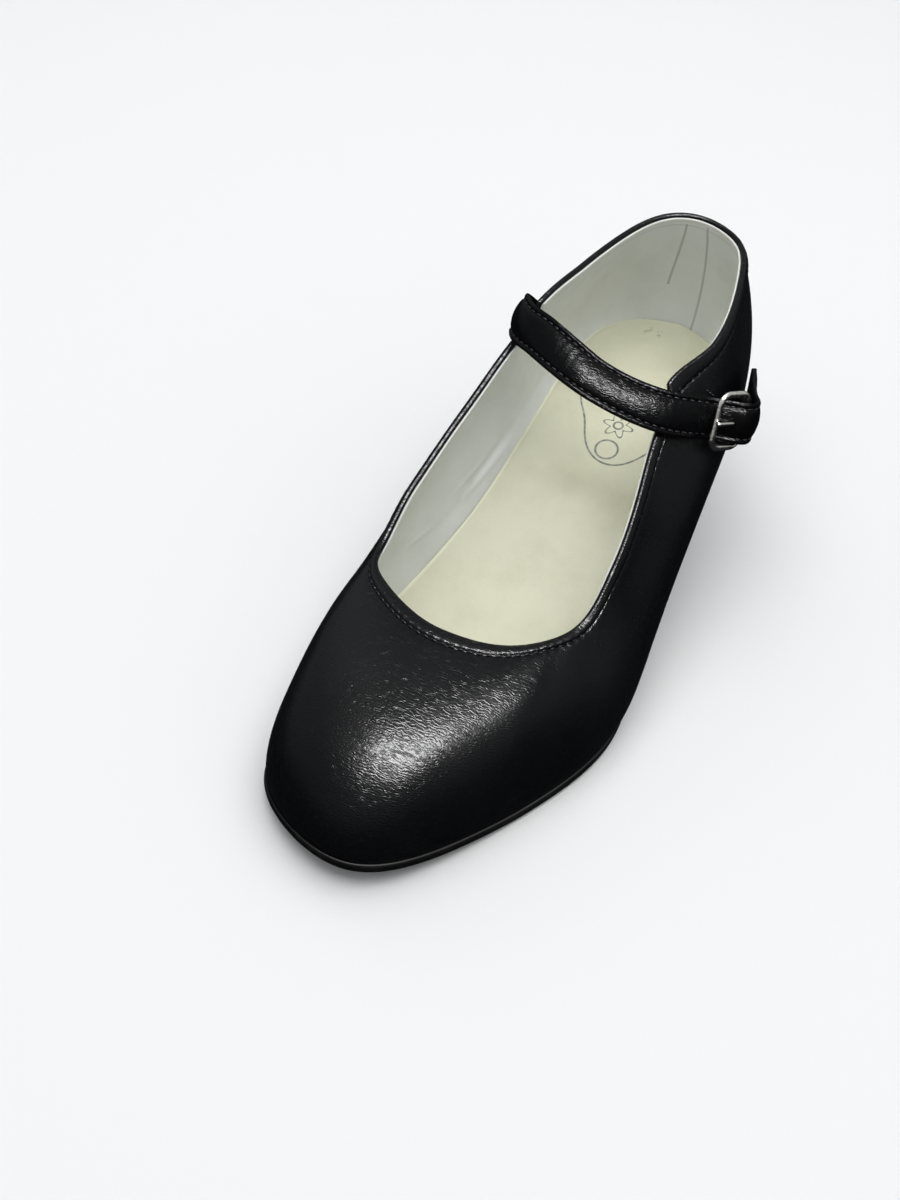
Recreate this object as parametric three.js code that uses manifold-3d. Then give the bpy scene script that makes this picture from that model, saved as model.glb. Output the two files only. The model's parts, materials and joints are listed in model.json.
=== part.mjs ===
// Black flamenco shoe with an instep strap, for the left foot, on a last of EU size 34.
// Millimetres, +Z up, toe towards -Y, outer side of the foot towards +X, floor at Z = 0.
import * as THREE from "three";
import { mergeVertices } from "three/addons/utils/BufferGeometryUtils.js";
import Module from "manifold-3d";

// Sizes of the last
const shoeLength = 226;
const ballWidth = 84;
const heelLift = 34;
const toeSpring = 6;

// Heights of the upper above the foot line
const collarHeight = 46;
const quarterHeight = 43.5;
const sideHeight = 39.5;
const throatHeight = 34;
const toeBoxHeight = 25;
const wallSwell = 6.5;
const toeSwell = 0.7;

// Step of the topline where the strap crosses it
const cornerDrop = 4.6;
const cornerRun = 1.6;
const cornerFade = 22;
const cornerLean = 1.8;
const cornerLeanFade = 20;

// Walls, sheets and their clearances
const upperWall = 2;
const bindingWidth = 3.2;
const bindingStep = 0.45;
const bindingSlope = 0.5;
const soleThickness = 4;
const waistThickness = 2.6;
const soleEdge = 0.5;
const soleBevel = 0.8;
const insoleThickness = 2.4;
const insoleEase = 0.8;
const fitGap = 0.3;

// Heel
const heelLength = 55;
const topPieceThickness = 5;
const heelInset = 0.8;
const breastHollow = 3.5;

// Strap, chape and buckle
const strapWidth = 12.4;
const strapThickness = 2.6;
const strapEase = 0.6;
const tipLength = 6;
const buckleDepth = 11.4;
const buckleSideClear = 1.05;
const buckleWire = 1.5;
const buckleCorner = 3;
const prongWire = 1.3;
const prongReach = 1.3;
const chapeThickness = 0.9;
const chapeInset = 1.6;

// Numbers of faces
const roundSteps = 92;
const wallSteps = 9;
const liningSteps = 6;
const bedSteps = 56;
const bedAcross = 5;
const wireSides = 8;

const halfBall = ballWidth / 2;
const vector = (x, y, z) => new THREE.Vector3(x, y, z);

// Turns rows of numbers into records with named columns.
function table(columns, rows) {
  const names = columns.split(" ");
  return rows.map((row) => Object.fromEntries(names.map((name, i) => [name, row[i]])));
}

// Ribs of the last, from the back of the heel round the outer side to the toe and back along the inner side.
// Each rib climbs from the foot line to the topline. Along is a share of the shoe's length from toe to heel,
// across is a share of half the ball width, and swell is a share of the wall's swell.
const ribs = table("footAlong footAcross topAlong topAcross swell", [
  [1.0, 0.01, 0.984, 0.07, 1.0], // heel back
  [0.97, 0.42, 0.958, 0.38, 1.0],
  [0.89, 0.65, 0.89, 0.54, 1.1], // outer seat
  [0.77, 0.75, 0.765, 0.63, 1.5],
  [0.63, 0.8, 0.66, 0.52, 2.0], // outer waist
  [0.49, 0.9, 0.535, 0.62, 1.5],
  [0.357, 0.985, 0.405, 0.66, 1.0], // outer ball
  [0.229, 0.786, 0.33, 0.48, 0.7],
  [0.103, 0.443, 0.295, 0.23, 0.3],
  [0.018, -0.046, 0.285, -0.05, 0.2], // toe
  [0.065, -0.7, 0.292, -0.34, 0.3],
  [0.163, -0.918, 0.325, -0.67, 0.8],
  [0.313, -0.978, 0.385, -0.84, 1.0], // inner ball
  [0.47, -0.8, 0.525, -0.8, 1.0],
  [0.62, -0.63, 0.645, -0.69, 1.0], // inner waist
  [0.76, -0.6, 0.765, -0.57, 1.0],
  [0.89, -0.61, 0.888, -0.41, 1.0], // inner seat
  [0.972, -0.42, 0.962, -0.22, 1.0],
]);

// Foot line from the side: how much of the heel's lift and of the toe spring it has along the shoe.
const footProfile = table("along lift spring", [
  [0, 0, 1],
  [0.12, 0, 0.28],
  [0.22, 0, 0],
  [0.38, 0, 0],
  [0.46, 0.14, 0],
  [0.56, 0.42, 0],
  [0.68, 0.79, 0],
  [0.8, 0.95, 0],
  [1, 1, 0],
]);

// Height of the topline over the foot line along the shoe.
const toplineProfile = table("along height", [
  [0.28, throatHeight],
  [0.36, throatHeight * 0.985],
  [0.45, sideHeight * 0.98],
  [0.6, sideHeight],
  [0.7, quarterHeight * 0.977],
  [0.85, quarterHeight * 1.023],
  [1, collarHeight],
]);
const cornerOuter = 0.664;
const cornerInner = 0.712;

// Sole thickness along the shoe, and how far its edge stands out past the foot line.
const soleProfile = table("along thickness edge", [
  [0, soleThickness, soleEdge],
  [0.38, soleThickness, soleEdge],
  [0.5, (soleThickness + waistThickness) / 2, soleEdge * 0.4],
  [0.62, waistThickness, 0],
  [1, waistThickness, 0],
]);

// Heel block from its foot to its seat: size of the section as a share of the seat, and how far it
// leans towards the toe as a share of the heel's length.
const heelProfile = table("height size lean", [
  [0, 0.86, 0.035],
  [0.18, 0.862, 0.034],
  [0.42, 0.885, 0.026],
  [0.7, 0.935, 0.011],
  [0.88, 0.975, 0.003],
  [1, 1, 0],
]);

// Strap from its sewn end over the instep to the buckle. Across is a share of half the ball width, along
// of the length, height of the quarter's height over the floor at the strap. The lean columns give the
// direction of the strap's width, and rests says that it lies on the quarter or its binding.
const strapRoute = table("across along height leanX leanY leanZ rests", [
  [-0.73, 0.77, 0.845, 0.08, -0.66, -0.75, "wall"],
  [-0.738, 0.723, 0.988, 0.03, -0.6, -0.8, "binding"],
  [-0.712, 0.692, 1.071, -0.13, -0.52, -0.83, "nothing"],
  [-0.61, 0.664, 1.099, -0.19, -0.52, -0.83, "nothing"],
  [-0.44, 0.644, 1.117, -0.27, -0.63, -0.73, "nothing"],
  [-0.226, 0.625, 1.112, -0.26, -0.77, -0.58, "nothing"],
  [0.024, 0.612, 1.086, -0.13, -0.88, -0.46, "nothing"],
  [0.286, 0.617, 1.038, 0.04, -0.84, -0.53, "nothing"],
  [0.524, 0.634, 0.99, 0.14, -0.72, -0.68, "nothing"],
  [0.676, 0.659, 0.947, 0.12, -0.57, -0.81, "nothing"],
]);
const barPlace = table("across along height", [[0.79, 0.6815, 0.916]])[0];

// Directions of the buckle: down its bars, and back from the outer bar to the hinge bar.
const buckleDown = vector(0.05, -0.36, -0.93).normalize();
const buckleBack = vector(0.49, 0.82, -0.29);
buckleBack.addScaledVector(buckleDown, -buckleBack.dot(buckleDown)).normalize();
const buckleOut = new THREE.Vector3().crossVectors(buckleDown, buckleBack);

// Heights over the buckle's plane of what is stacked on its bars
const strapUnder = -(buckleWire / 2 + fitGap + strapThickness * 0.68);
const strapPressed = 0.77;
const chapeRadius = buckleWire / 2 + fitGap + chapeThickness / 2;
const strapOver = chapeRadius + chapeThickness / 2 + fitGap + (strapThickness * strapPressed) / 2;
const prongLevel = buckleWire / 2 + fitGap + prongWire / 2;

// Strap past the outer bar: back is a share of the buckle's depth, out and down are shares of the
// strap's width, and the leans turn its width out of the bars' direction.
const tailRoute = table("back out down leanBack leanOut width thickness", [
  [0, strapUnder / strapWidth, 0, 0, 0, 1, 1],
  [0.4, 0.034, 0, 0, 0, 1, 1],
  [0.74, strapOver / strapWidth - 0.01, 0, 0, 0, 1, 0.85],
  [1.0, strapOver / strapWidth, 0, 0, 0, 1, strapPressed],
  [1.25, 0.147, -0.011, 0.03, -0.02, 1, 0.85],
  [1.5, -0.19, -0.11, 0.13, -0.1, 0.98, 0.95],
  [1.96, -0.7, -0.37, 0.23, -0.13, 0.86, 1],
  [2.46, -1.16, -0.68, 0.29, -0.14, 0.74, 1],
]);

// Section of the strap: shares of its half width and of its half thickness, outer face first.
const strapSection = table("wide thick", [
  [-1, 0.1],
  [-0.94, 0.6],
  [-0.6, 0.94],
  [0, 1],
  [0.6, 0.94],
  [0.94, 0.6],
  [1, 0.1],
  [0.97, -0.8],
  [0.6, -1],
  [-0.6, -1],
  [-0.97, -0.8],
]);

// Runs a smooth step from 0 at low to 1 at high.
const ease = (low, high, x) => THREE.MathUtils.smoothstep(x, low, high);

// Closed smooth curve through the rows of a table, by a periodic cubic B-spline that is solved to pass
// through them. Returns a function of the place round the loop, from 0 to 1.
function closedSpline(rows, column) {
  const y = rows.map((row) => row[column]);
  const n = y.length;
  let c = y.slice();
  for (let pass = 0; pass < 50; pass++) {
    c = y.map((value, i) => (6 * value - c[(i + n - 1) % n] - c[(i + 1) % n]) / 4);
  }
  return (u) => {
    const s = (u - Math.floor(u)) * n;
    const i = Math.floor(s) % n;
    const t = s - Math.floor(s);
    const [a, b, d, e] = [c[(i + n - 1) % n], c[i], c[(i + 1) % n], c[(i + 2) % n]];
    const blend = [(1 - t) ** 3, 3 * t ** 3 - 6 * t ** 2 + 4, -3 * t ** 3 + 3 * t ** 2 + 3 * t + 1, t ** 3];
    return (blend[0] * a + blend[1] * b + blend[2] * d + blend[3] * e) / 6;
  };
}

// Curve through the rows of a table that never overshoots them: cubic pieces with harmonic mean slopes.
function profile(rows, column) {
  const x = rows.map((row) => row.along ?? row.height);
  const y = rows.map((row) => row[column]);
  const run = x.slice(1).map((value, i) => value - x[i]);
  const rise = y.slice(1).map((value, i) => (value - y[i]) / run[i]);
  const slope = y.map((value, i) => {
    if (i === 0) return rise[0];
    if (i === y.length - 1) return rise[i - 1];
    if (rise[i - 1] * rise[i] <= 0) return 0;
    const [before, after] = [2 * run[i] + run[i - 1], run[i] + 2 * run[i - 1]];
    return (before + after) / (before / rise[i - 1] + after / rise[i]);
  });
  return (at) => {
    const p = THREE.MathUtils.clamp(at, x[0], x[x.length - 1]);
    let k = 0;
    while (k < run.length - 1 && p >= x[k + 1]) k += 1;
    const t = (p - x[k]) / run[k];
    const ends = (2 * t ** 3 - 3 * t ** 2 + 1) * y[k] + (-2 * t ** 3 + 3 * t ** 2) * y[k + 1];
    const slopes = (t ** 3 - 2 * t ** 2 + t) * slope[k] + (t ** 3 - t ** 2) * slope[k + 1];
    return ends + slopes * run[k];
  };
}

const rib = Object.fromEntries(Object.keys(ribs[0]).map((column) => [column, closedSpline(ribs, column)]));
const liftShare = profile(footProfile, "lift");
const springShare = profile(footProfile, "spring");
const toplineBase = profile(toplineProfile, "height");
const soleDepth = profile(soleProfile, "thickness");
const soleOut = profile(soleProfile, "edge");

const placeAlong = (along) => (along - 0.5) * shoeLength;
const shareAlong = (y) => y / shoeLength + 0.5;
const footHeight = (along) => soleThickness + heelLift * liftShare(along) + toeSpring * springShare(along);

// Short step that ends the quarter's front corner: how far the topline lies over or under its smooth run.
function cornerStep(u) {
  const corner = rib.topAcross(u) > 0 ? cornerOuter : cornerInner;
  const away = (rib.topAlong(u) - corner) * shoeLength;
  const step = ease(-cornerRun / 2, cornerRun / 2, away) - 0.5;
  return cornerDrop * step * (1 - ease(0, cornerFade, Math.abs(away)));
}

// How far the outer quarter's front corner leans inwards, drawn by the fastened strap.
function cornerInwards(u) {
  if (rib.topAcross(u) < 0) return 0;
  const away = (rib.topAlong(u) - cornerOuter) * shoeLength;
  const step = ease(-cornerRun / 2, cornerRun / 2, away);
  return cornerLean * step * (1 - ease(0, cornerLeanFade, Math.abs(away)));
}

// Point of the foot line.
function footLine(u) {
  const along = rib.footAlong(u);
  return vector(rib.footAcross(u) * halfBall, placeAlong(along), footHeight(along));
}

// Direction away from the shoe at the foot line, level with the floor.
function footOut(u) {
  const before = footLine(u - 0.002);
  const after = footLine(u + 0.002);
  return vector(before.y - after.y, after.x - before.x, 0).normalize();
}

// Point of the topline's smooth run, without the corner steps.
function topLine(u) {
  const along = rib.topAlong(u);
  return vector(rib.topAcross(u) * halfBall, placeAlong(along), footHeight(along) + toplineBase(along));
}

// Outer face of the upper: a cubic rib from the foot line, v = 0, to the topline, v = 1. Over the quarters
// the rib is a wall with a swell, over the forefoot it rises as the toe box and arches back to the throat.
// The corner step lifts or lowers only the last few millimetres under the topline.
function upperPoint(u, v) {
  const foot = footLine(u);
  const top = topLine(u);
  const out = footOut(u);
  const fore = 1 - ease(0.17, 0.42, rib.footAlong(u));
  const rise = (top.z - foot.z) / 3;
  const swell = wallSwell * rib.swell(u);
  const low = foot.clone().addScaledVector(out, swell * (1 - fore) + toeSwell * fore);
  low.z += rise * (1 - fore) + toeBoxHeight * fore;
  const wall = top.clone().addScaledVector(out, swell * 0.8);
  wall.z -= rise;
  const vamp = top.clone().lerp(vector(foot.x, foot.y, top.z), 0.55);
  vamp.z += throatHeight * 0.08;
  const high = wall.lerp(vamp, fore);
  const point = foot
    .multiplyScalar((1 - v) ** 3)
    .addScaledVector(low, 3 * v * (1 - v) ** 2)
    .addScaledVector(high, 3 * v ** 2 * (1 - v))
    .addScaledVector(top, v ** 3);
  point.addScaledVector(out, -cornerInwards(u) * v ** 8);
  point.z += cornerStep(u) * v ** 8;
  return point;
}

// Direction up the rib, and outward direction square to the upper.
function upperUp(u, v) {
  const low = Math.max(v - 0.01, 0);
  return upperPoint(u, Math.min(v + 0.01, 1)).sub(upperPoint(u, low)).normalize();
}
function upperOut(u, v) {
  const round = upperPoint(u + 0.002, v).sub(upperPoint(u - 0.002, v));
  const normal = round.cross(upperUp(u, v)).normalize().negate();
  normal.z *= ease(0, 0.12, v);
  return normal.normalize();
}

// Nearest place of the upper's outer face to a point: the point that stands off it there, and its
// outward direction.
function restOnUpper(point, stand) {
  let best = { u: 0, v: 0.5, far: Infinity };
  let span = { u: 0.5, v: 0.5, centreU: 0.5, centreV: 0.5 };
  for (let round = 0; round < 7; round++) {
    const cells = round === 0 ? 40 : 8;
    for (let i = 0; i <= cells; i++) {
      for (let j = 0; j <= cells; j++) {
        const u = span.centreU + span.u * ((2 * i) / cells - 1);
        const v = THREE.MathUtils.clamp(span.centreV + span.v * ((2 * j) / cells - 1), 0, 1);
        const far = upperPoint(u, v).distanceToSquared(point);
        if (far < best.far) best = { u, v, far };
      }
    }
    const shrink = round === 0 ? 0.05 : 0.4;
    span = { u: span.u * shrink, v: span.v * shrink, centreU: best.u, centreV: best.v };
  }
  const out = upperOut(best.u, best.v);
  return { place: upperPoint(best.u, best.v).addScaledVector(out, stand), out };
}

// Body from a grid of points. Rows run one way and columns close round the section, rows close too
// when looped, and otherwise the two end sections are capped by fans.
function gridBody(grid, looped) {
  const rows = grid.length;
  const columns = grid[0].length;
  const points = grid.flat();
  const faces = [];
  for (let i = 0; i < (looped ? rows : rows - 1); i++) {
    for (let j = 0; j < columns; j++) {
      const next = (i + 1) % rows;
      const side = (j + 1) % columns;
      const [a, b, c, d] = [i * columns + j, next * columns + j, next * columns + side, i * columns + side];
      faces.push([a, b, c], [a, c, d]);
    }
  }
  if (!looped) {
    for (let j = 1; j < columns - 1; j++) {
      faces.push([0, j, j + 1]);
      const last = (rows - 1) * columns;
      faces.push([last, last + j + 1, last + j]);
    }
  }
  return bodyOf(points, faces);
}

// Body between two sheets of points, each a grid of the same size, closed round their edge.
function sheetBody(top, bottom) {
  const rows = top.length;
  const columns = top[0].length;
  const points = [...top.flat(), ...bottom.flat()];
  const under = rows * columns;
  const faces = [];
  for (let i = 0; i < rows - 1; i++) {
    for (let j = 0; j < columns - 1; j++) {
      const [a, b] = [i * columns + j, (i + 1) * columns + j];
      faces.push([a, b, b + 1], [a, b + 1, a + 1]);
      faces.push([under + a, under + b + 1, under + b], [under + a, under + a + 1, under + b + 1]);
    }
    for (const [j, turn] of [
      [0, false],
      [columns - 1, true],
    ]) {
      const [a, b] = [i * columns + j, (i + 1) * columns + j];
      const quad = [
        [a, under + a, under + b],
        [a, under + b, b],
      ];
      faces.push(...quad.map((face) => (turn ? face.slice().reverse() : face)));
    }
  }
  return bodyOf(points, faces);
}

// Body of stacked rings with the same number of points, closed by a flat cut at each end.
function ringBody(rings) {
  const count = rings[0].length;
  const points = rings.flat();
  const faces = [];
  for (let k = 0; k < rings.length - 1; k++) {
    for (let j = 0; j < count; j++) {
      const side = (j + 1) % count;
      const [a, b, c, d] = [k * count + j, k * count + side, (k + 1) * count + side, (k + 1) * count + j];
      faces.push([a, b, c], [a, c, d]);
    }
  }
  const outline = rings[0].map((point) => new THREE.Vector2(point.x, point.y));
  const last = (rings.length - 1) * count;
  for (const [a, b, c] of THREE.ShapeUtils.triangulateShape(outline, [])) {
    faces.push([a, c, b], [last + a, last + b, last + c]);
  }
  return bodyOf(points, faces);
}

// Indexed geometry with shared points merged and faces that have closed up left out. It is turned
// round where its faces point inwards.
function bodyOf(points, faces) {
  const geometry = new THREE.BufferGeometry().setFromPoints(points);
  geometry.setIndex(faces.flat());
  const merged = mergeVertices(geometry, 1e-3);
  const index = merged.index.array;
  const place = (i) => new THREE.Vector3().fromBufferAttribute(merged.attributes.position, i);
  const kept = [];
  let volume = 0;
  for (let i = 0; i < index.length; i += 3) {
    const [a, b, c] = [index[i], index[i + 1], index[i + 2]];
    if (a === b || b === c || c === a) continue;
    kept.push([a, b, c]);
    volume += place(a).dot(place(b).cross(place(c)));
  }
  merged.setIndex(kept.map((face) => (volume < 0 ? face.reverse() : face)).flat());
  return merged;
}

// Places round the shoe for the upper's ribs, with one at each side of both corner steps.
function ribPlaces() {
  const reach = (corner, low, high) => {
    let [a, b] = [low, high];
    const rising = rib.topAlong(high) > rib.topAlong(low);
    for (let step = 0; step < 40; step++) {
      const middle = (a + b) / 2;
      if (rib.topAlong(middle) < corner === rising) a = middle;
      else b = middle;
    }
    return (a + b) / 2;
  };
  const half = cornerRun / 2 / shoeLength;
  const marks = [
    0,
    reach(cornerOuter + half, 0.1, 0.45),
    reach(cornerOuter - half, 0.1, 0.45),
    0.5,
    reach(cornerInner - half, 0.55, 0.9),
    reach(cornerInner + half, 0.55, 0.9),
    1,
  ];
  const places = [];
  for (let k = 0; k < marks.length - 1; k++) {
    const count = Math.max(2, Math.round((marks[k + 1] - marks[k]) * roundSteps));
    for (let i = 0; i < count; i++) places.push(THREE.MathUtils.lerp(marks[k], marks[k + 1], i / count));
  }
  return places;
}

// Section of the upper at one rib: outer face, raised binding, rounded edge and lining.
function upperSection(u) {
  let length = 0;
  for (let k = 0; k < 12; k++) length += upperPoint(u, k / 12).distanceTo(upperPoint(u, (k + 1) / 12));
  const band = 1 - bindingWidth / length;
  const raised = band + bindingSlope / length;
  const section = [];
  for (let k = 0; k <= wallSteps; k++) section.push(upperPoint(u, (band * k) / wallSteps));
  section.push(upperPoint(u, raised).addScaledVector(upperOut(u, raised), bindingStep));
  const edge = upperPoint(u, 1);
  const out = upperOut(u, 1);
  section.push(edge.clone().addScaledVector(out, bindingStep));
  section.push(
    edge
      .clone()
      .addScaledVector(out, (bindingStep - upperWall) / 2)
      .addScaledVector(upperUp(u, 1), upperWall * 0.35),
  );
  for (let k = liningSteps; k >= 0; k--) {
    const v = k / liningSteps;
    section.push(upperPoint(u, v).addScaledVector(upperOut(u, v), -upperWall));
  }
  return section;
}

const makeUpper = () => gridBody(ribPlaces().map(upperSection), true);

// Sheet between the outer and the inner side of an outline, with each point at a height worked out
// from its place along the shoe.
function bedSheet(outline, height) {
  const rows = [];
  for (let i = 0; i <= bedSteps; i++) {
    const u = 0.5 * i / bedSteps;
    const outer = outline(u);
    const inner = outline(1 - u);
    const row = [];
    for (let j = 0; j <= bedAcross; j++) {
      const point = outer.clone().lerp(inner, j / bedAcross);
      point.z = height(shareAlong(point.y));
      row.push(point);
    }
    rows.push(row);
  }
  return rows;
}

// Outline that follows the foot line, moved out by a distance that may change along the shoe.
const besideFootLine = (distance) => (u) =>
  footLine(u).addScaledVector(footOut(u), distance(rib.footAlong(u)));

const soleTop = (along) => footHeight(along) - fitGap;
const soleBottom = (along) => footHeight(along) - soleDepth(along);

function makeOutsole() {
  const top = bedSheet(besideFootLine(soleOut), soleTop);
  const bottom = bedSheet(besideFootLine((along) => soleOut(along) - soleBevel), soleBottom);
  return sheetBody(top, bottom);
}

function makeInsole() {
  const outline = besideFootLine(() => -(upperWall + insoleEase));
  const top = bedSheet(outline, (along) => footHeight(along) + insoleThickness);
  return sheetBody(top, bedSheet(outline, footHeight));
}

// Outline of the heel: round the back from the outer to the inner corner, then a hollow breast.
function heelOutline(height) {
  const size = profile(heelProfile, "size")(height);
  const lean = profile(heelProfile, "lean")(height) * heelLength;
  const breast = 1 - heelLength / shoeLength;
  const middle = vector(0, placeAlong(1) - heelLength / 2, 0);
  const roundSteps = 26;
  const breastSteps = 7;
  const cornerPlace = (from, to) => {
    let [a, b] = [from, to];
    for (let step = 0; step < 40; step++) {
      const u = (a + b) / 2;
      if (rib.footAlong(u) > breast) a = u;
      else b = u;
    }
    return a;
  };
  const outer = cornerPlace(0, 0.4);
  const inner = cornerPlace(0, -0.4);
  const edge = besideFootLine(() => -heelInset);
  const ring = [];
  for (let i = 0; i <= roundSteps; i++) ring.push(edge(THREE.MathUtils.lerp(outer, inner, i / roundSteps)));
  const [first, last] = [ring[0].clone(), ring[ring.length - 1].clone()];
  for (let i = 1; i < breastSteps; i++) {
    const t = i / breastSteps;
    const point = last.clone().lerp(first, t);
    point.y += breastHollow * 4 * t * (1 - t);
    ring.push(point);
  }
  return ring.map((point) => {
    point.z = 0;
    point.sub(middle).multiplyScalar(size).add(middle);
    point.y -= lean;
    return point;
  });
}

const heelFoot = topPieceThickness + fitGap;

function makeHeel() {
  const rings = heelProfile.map(({ height }) =>
    heelOutline(height).map((point) => {
      const seat = soleBottom(shareAlong(point.y)) - fitGap;
      point.z = THREE.MathUtils.lerp(heelFoot, seat, height);
      return point;
    }),
  );
  return ringBody(rings);
}

function makeTopPiece() {
  const rings = [0, topPieceThickness].map((z) =>
    heelOutline(0).map((point) => {
      point.z = z;
      return point;
    }),
  );
  return ringBody(rings);
}

// Place of a strap row, from shares of the shoe's sizes.
const quarterTop = footHeight(cornerOuter) + toplineBase(cornerOuter);
const strapPlace = (row) => vector(row.across * halfBall, placeAlong(row.along), row.height * quarterTop);

const barStrap = restOnUpper(strapPlace(barPlace), fitGap + strapThickness * 1.2);
const barCentre = barStrap.place.clone().addScaledVector(buckleOut, -strapUnder);
const bucklePlace = (back, out, down) =>
  barCentre
    .clone()
    .addScaledVector(buckleBack, back)
    .addScaledVector(buckleOut, out)
    .addScaledVector(buckleDown, down);

// Smooth ribbon through rows of a place, a width direction, a width and a thickness.
function ribbon(rows, steps, section) {
  const path = new THREE.CatmullRomCurve3(rows.map((row) => row.place));
  const widths = new THREE.CatmullRomCurve3(rows.map((row) => row.lean));
  const sizes = new THREE.CatmullRomCurve3(rows.map((row) => vector(row.width, row.thickness, 0)));
  const grid = [];
  for (const t of steps) {
    const tangent = path.getTangent(t);
    const wide = widths.getPoint(t);
    wide.addScaledVector(tangent, -wide.dot(tangent)).normalize();
    const out = new THREE.Vector3().crossVectors(tangent, wide);
    const size = sizes.getPoint(t);
    const centre = path.getPoint(t);
    grid.push(
      section.map((corner) =>
        centre
          .clone()
          .addScaledVector(wide, (corner.wide * size.x) / 2)
          .addScaledVector(out, (corner.thick * size.y) / 2),
      ),
    );
  }
  return grid;
}

function makeStrap() {
  const rows = strapRoute.map((row) => {
    const lean = vector(row.leanX, row.leanY, row.leanZ);
    let place = strapPlace(row);
    if (row.rests !== "nothing") {
      const stand = strapEase + strapThickness / 2 + (row.rests === "binding" ? bindingStep : 0);
      const rest = restOnUpper(place, stand);
      lean.addScaledVector(rest.out, -lean.dot(rest.out)).normalize();
      place = rest.place;
    }
    return { place, lean, width: strapWidth, thickness: strapThickness };
  });
  for (const row of tailRoute) {
    rows.push({
      place: bucklePlace(row.back * buckleDepth, row.out * strapWidth, row.down * strapWidth),
      lean: buckleDown
        .clone()
        .addScaledVector(buckleBack, row.leanBack)
        .addScaledVector(buckleOut, row.leanOut),
      width: strapWidth * row.width,
      thickness: strapThickness * row.thickness,
    });
  }
  const perRow = 4;
  const count = (rows.length - 1) * perRow;
  const steps = Array.from({ length: count + 1 }, (_, i) => i / count);
  const grid = ribbon(rows, steps, strapSection);
  roundTip(grid);
  return gridBody(grid, false);
}

// Rounds the free end of a ribbon: its last sections narrow as a half ellipse.
function roundTip(grid) {
  const centre = (section) =>
    section.reduce((sum, point) => sum.add(point), vector(0, 0, 0)).divideScalar(section.length);
  const last = centre(grid[grid.length - 1]);
  for (const section of grid) {
    const middle = centre(section);
    const left = middle.distanceTo(last) / tipLength;
    if (left >= 1) continue;
    const narrow = Math.sqrt(1 - (1 - Math.max(left, 0.06)) ** 2);
    for (const point of section) point.sub(middle).multiplyScalar(narrow).add(middle);
  }
}

// Wire of round section along a path given in the buckle's plane. Each point is a Vector2 of back and
// out or down, and side is the direction that the path's plane leaves out.
function wireGrid(points, radius, looped, side) {
  return points.map((point, i) => {
    const before = points[looped ? (i + points.length - 1) % points.length : Math.max(i - 1, 0)];
    const after = points[looped ? (i + 1) % points.length : Math.min(i + 1, points.length - 1)];
    const along = after.clone().sub(before).normalize();
    const cross = new THREE.Vector3().crossVectors(along, side).normalize();
    return Array.from({ length: wireSides }, (_, j) => {
      const angle = (2 * Math.PI * j) / wireSides;
      return point
        .clone()
        .addScaledVector(cross, radius * Math.cos(angle))
        .addScaledVector(side, radius * Math.sin(angle));
    });
  });
}

// Buckle frame: round wire bent to a rectangle with round corners. The outer bar crosses over the
// strap, and the hinge bar carries the chape and the prong.
function makeBuckle() {
  const halfSpan = strapWidth / 2 + buckleSideClear + buckleWire / 2;
  const cornerSteps = 5;
  const path = [];
  for (const [back, down, start] of [
    [buckleDepth - buckleCorner, halfSpan - buckleCorner, 0],
    [buckleCorner, halfSpan - buckleCorner, 90],
    [buckleCorner, buckleCorner - halfSpan, 180],
    [buckleDepth - buckleCorner, buckleCorner - halfSpan, 270],
  ]) {
    for (let i = 0; i <= cornerSteps; i++) {
      const angle = THREE.MathUtils.degToRad(start + (90 * i) / cornerSteps);
      const turnBack = buckleCorner * Math.cos(angle);
      const turnDown = buckleCorner * Math.sin(angle);
      path.push(bucklePlace(back + turnBack, 0, down + turnDown));
    }
  }
  return gridBody(wireGrid(path, buckleWire / 2, true, buckleOut), true);
}

// Prong: wire curled round the hinge bar, then straight to the outer bar. Room makes it thicker and
// longer, as the hole that it passes through.
function prongBody(room) {
  const path = [];
  const curlSteps = 12;
  const curlStart = 188 - THREE.MathUtils.radToDeg(room / prongLevel);
  const radius = prongWire / 2 + room;
  for (let i = 0; i <= curlSteps; i++) {
    const angle = THREE.MathUtils.degToRad(curlStart - 360 + ((450 - curlStart) * i) / curlSteps);
    path.push(bucklePlace(buckleDepth + prongLevel * Math.cos(angle), prongLevel * Math.sin(angle), 0));
  }
  for (const back of [0.8, 0.6, 0.4, 0.2, 0]) path.push(bucklePlace(back * buckleDepth, prongLevel, 0));
  path.push(bucklePlace(-prongReach - room, prongLevel, 0));
  return gridBody(wireGrid(path, radius, false, buckleDown), false);
}

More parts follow.
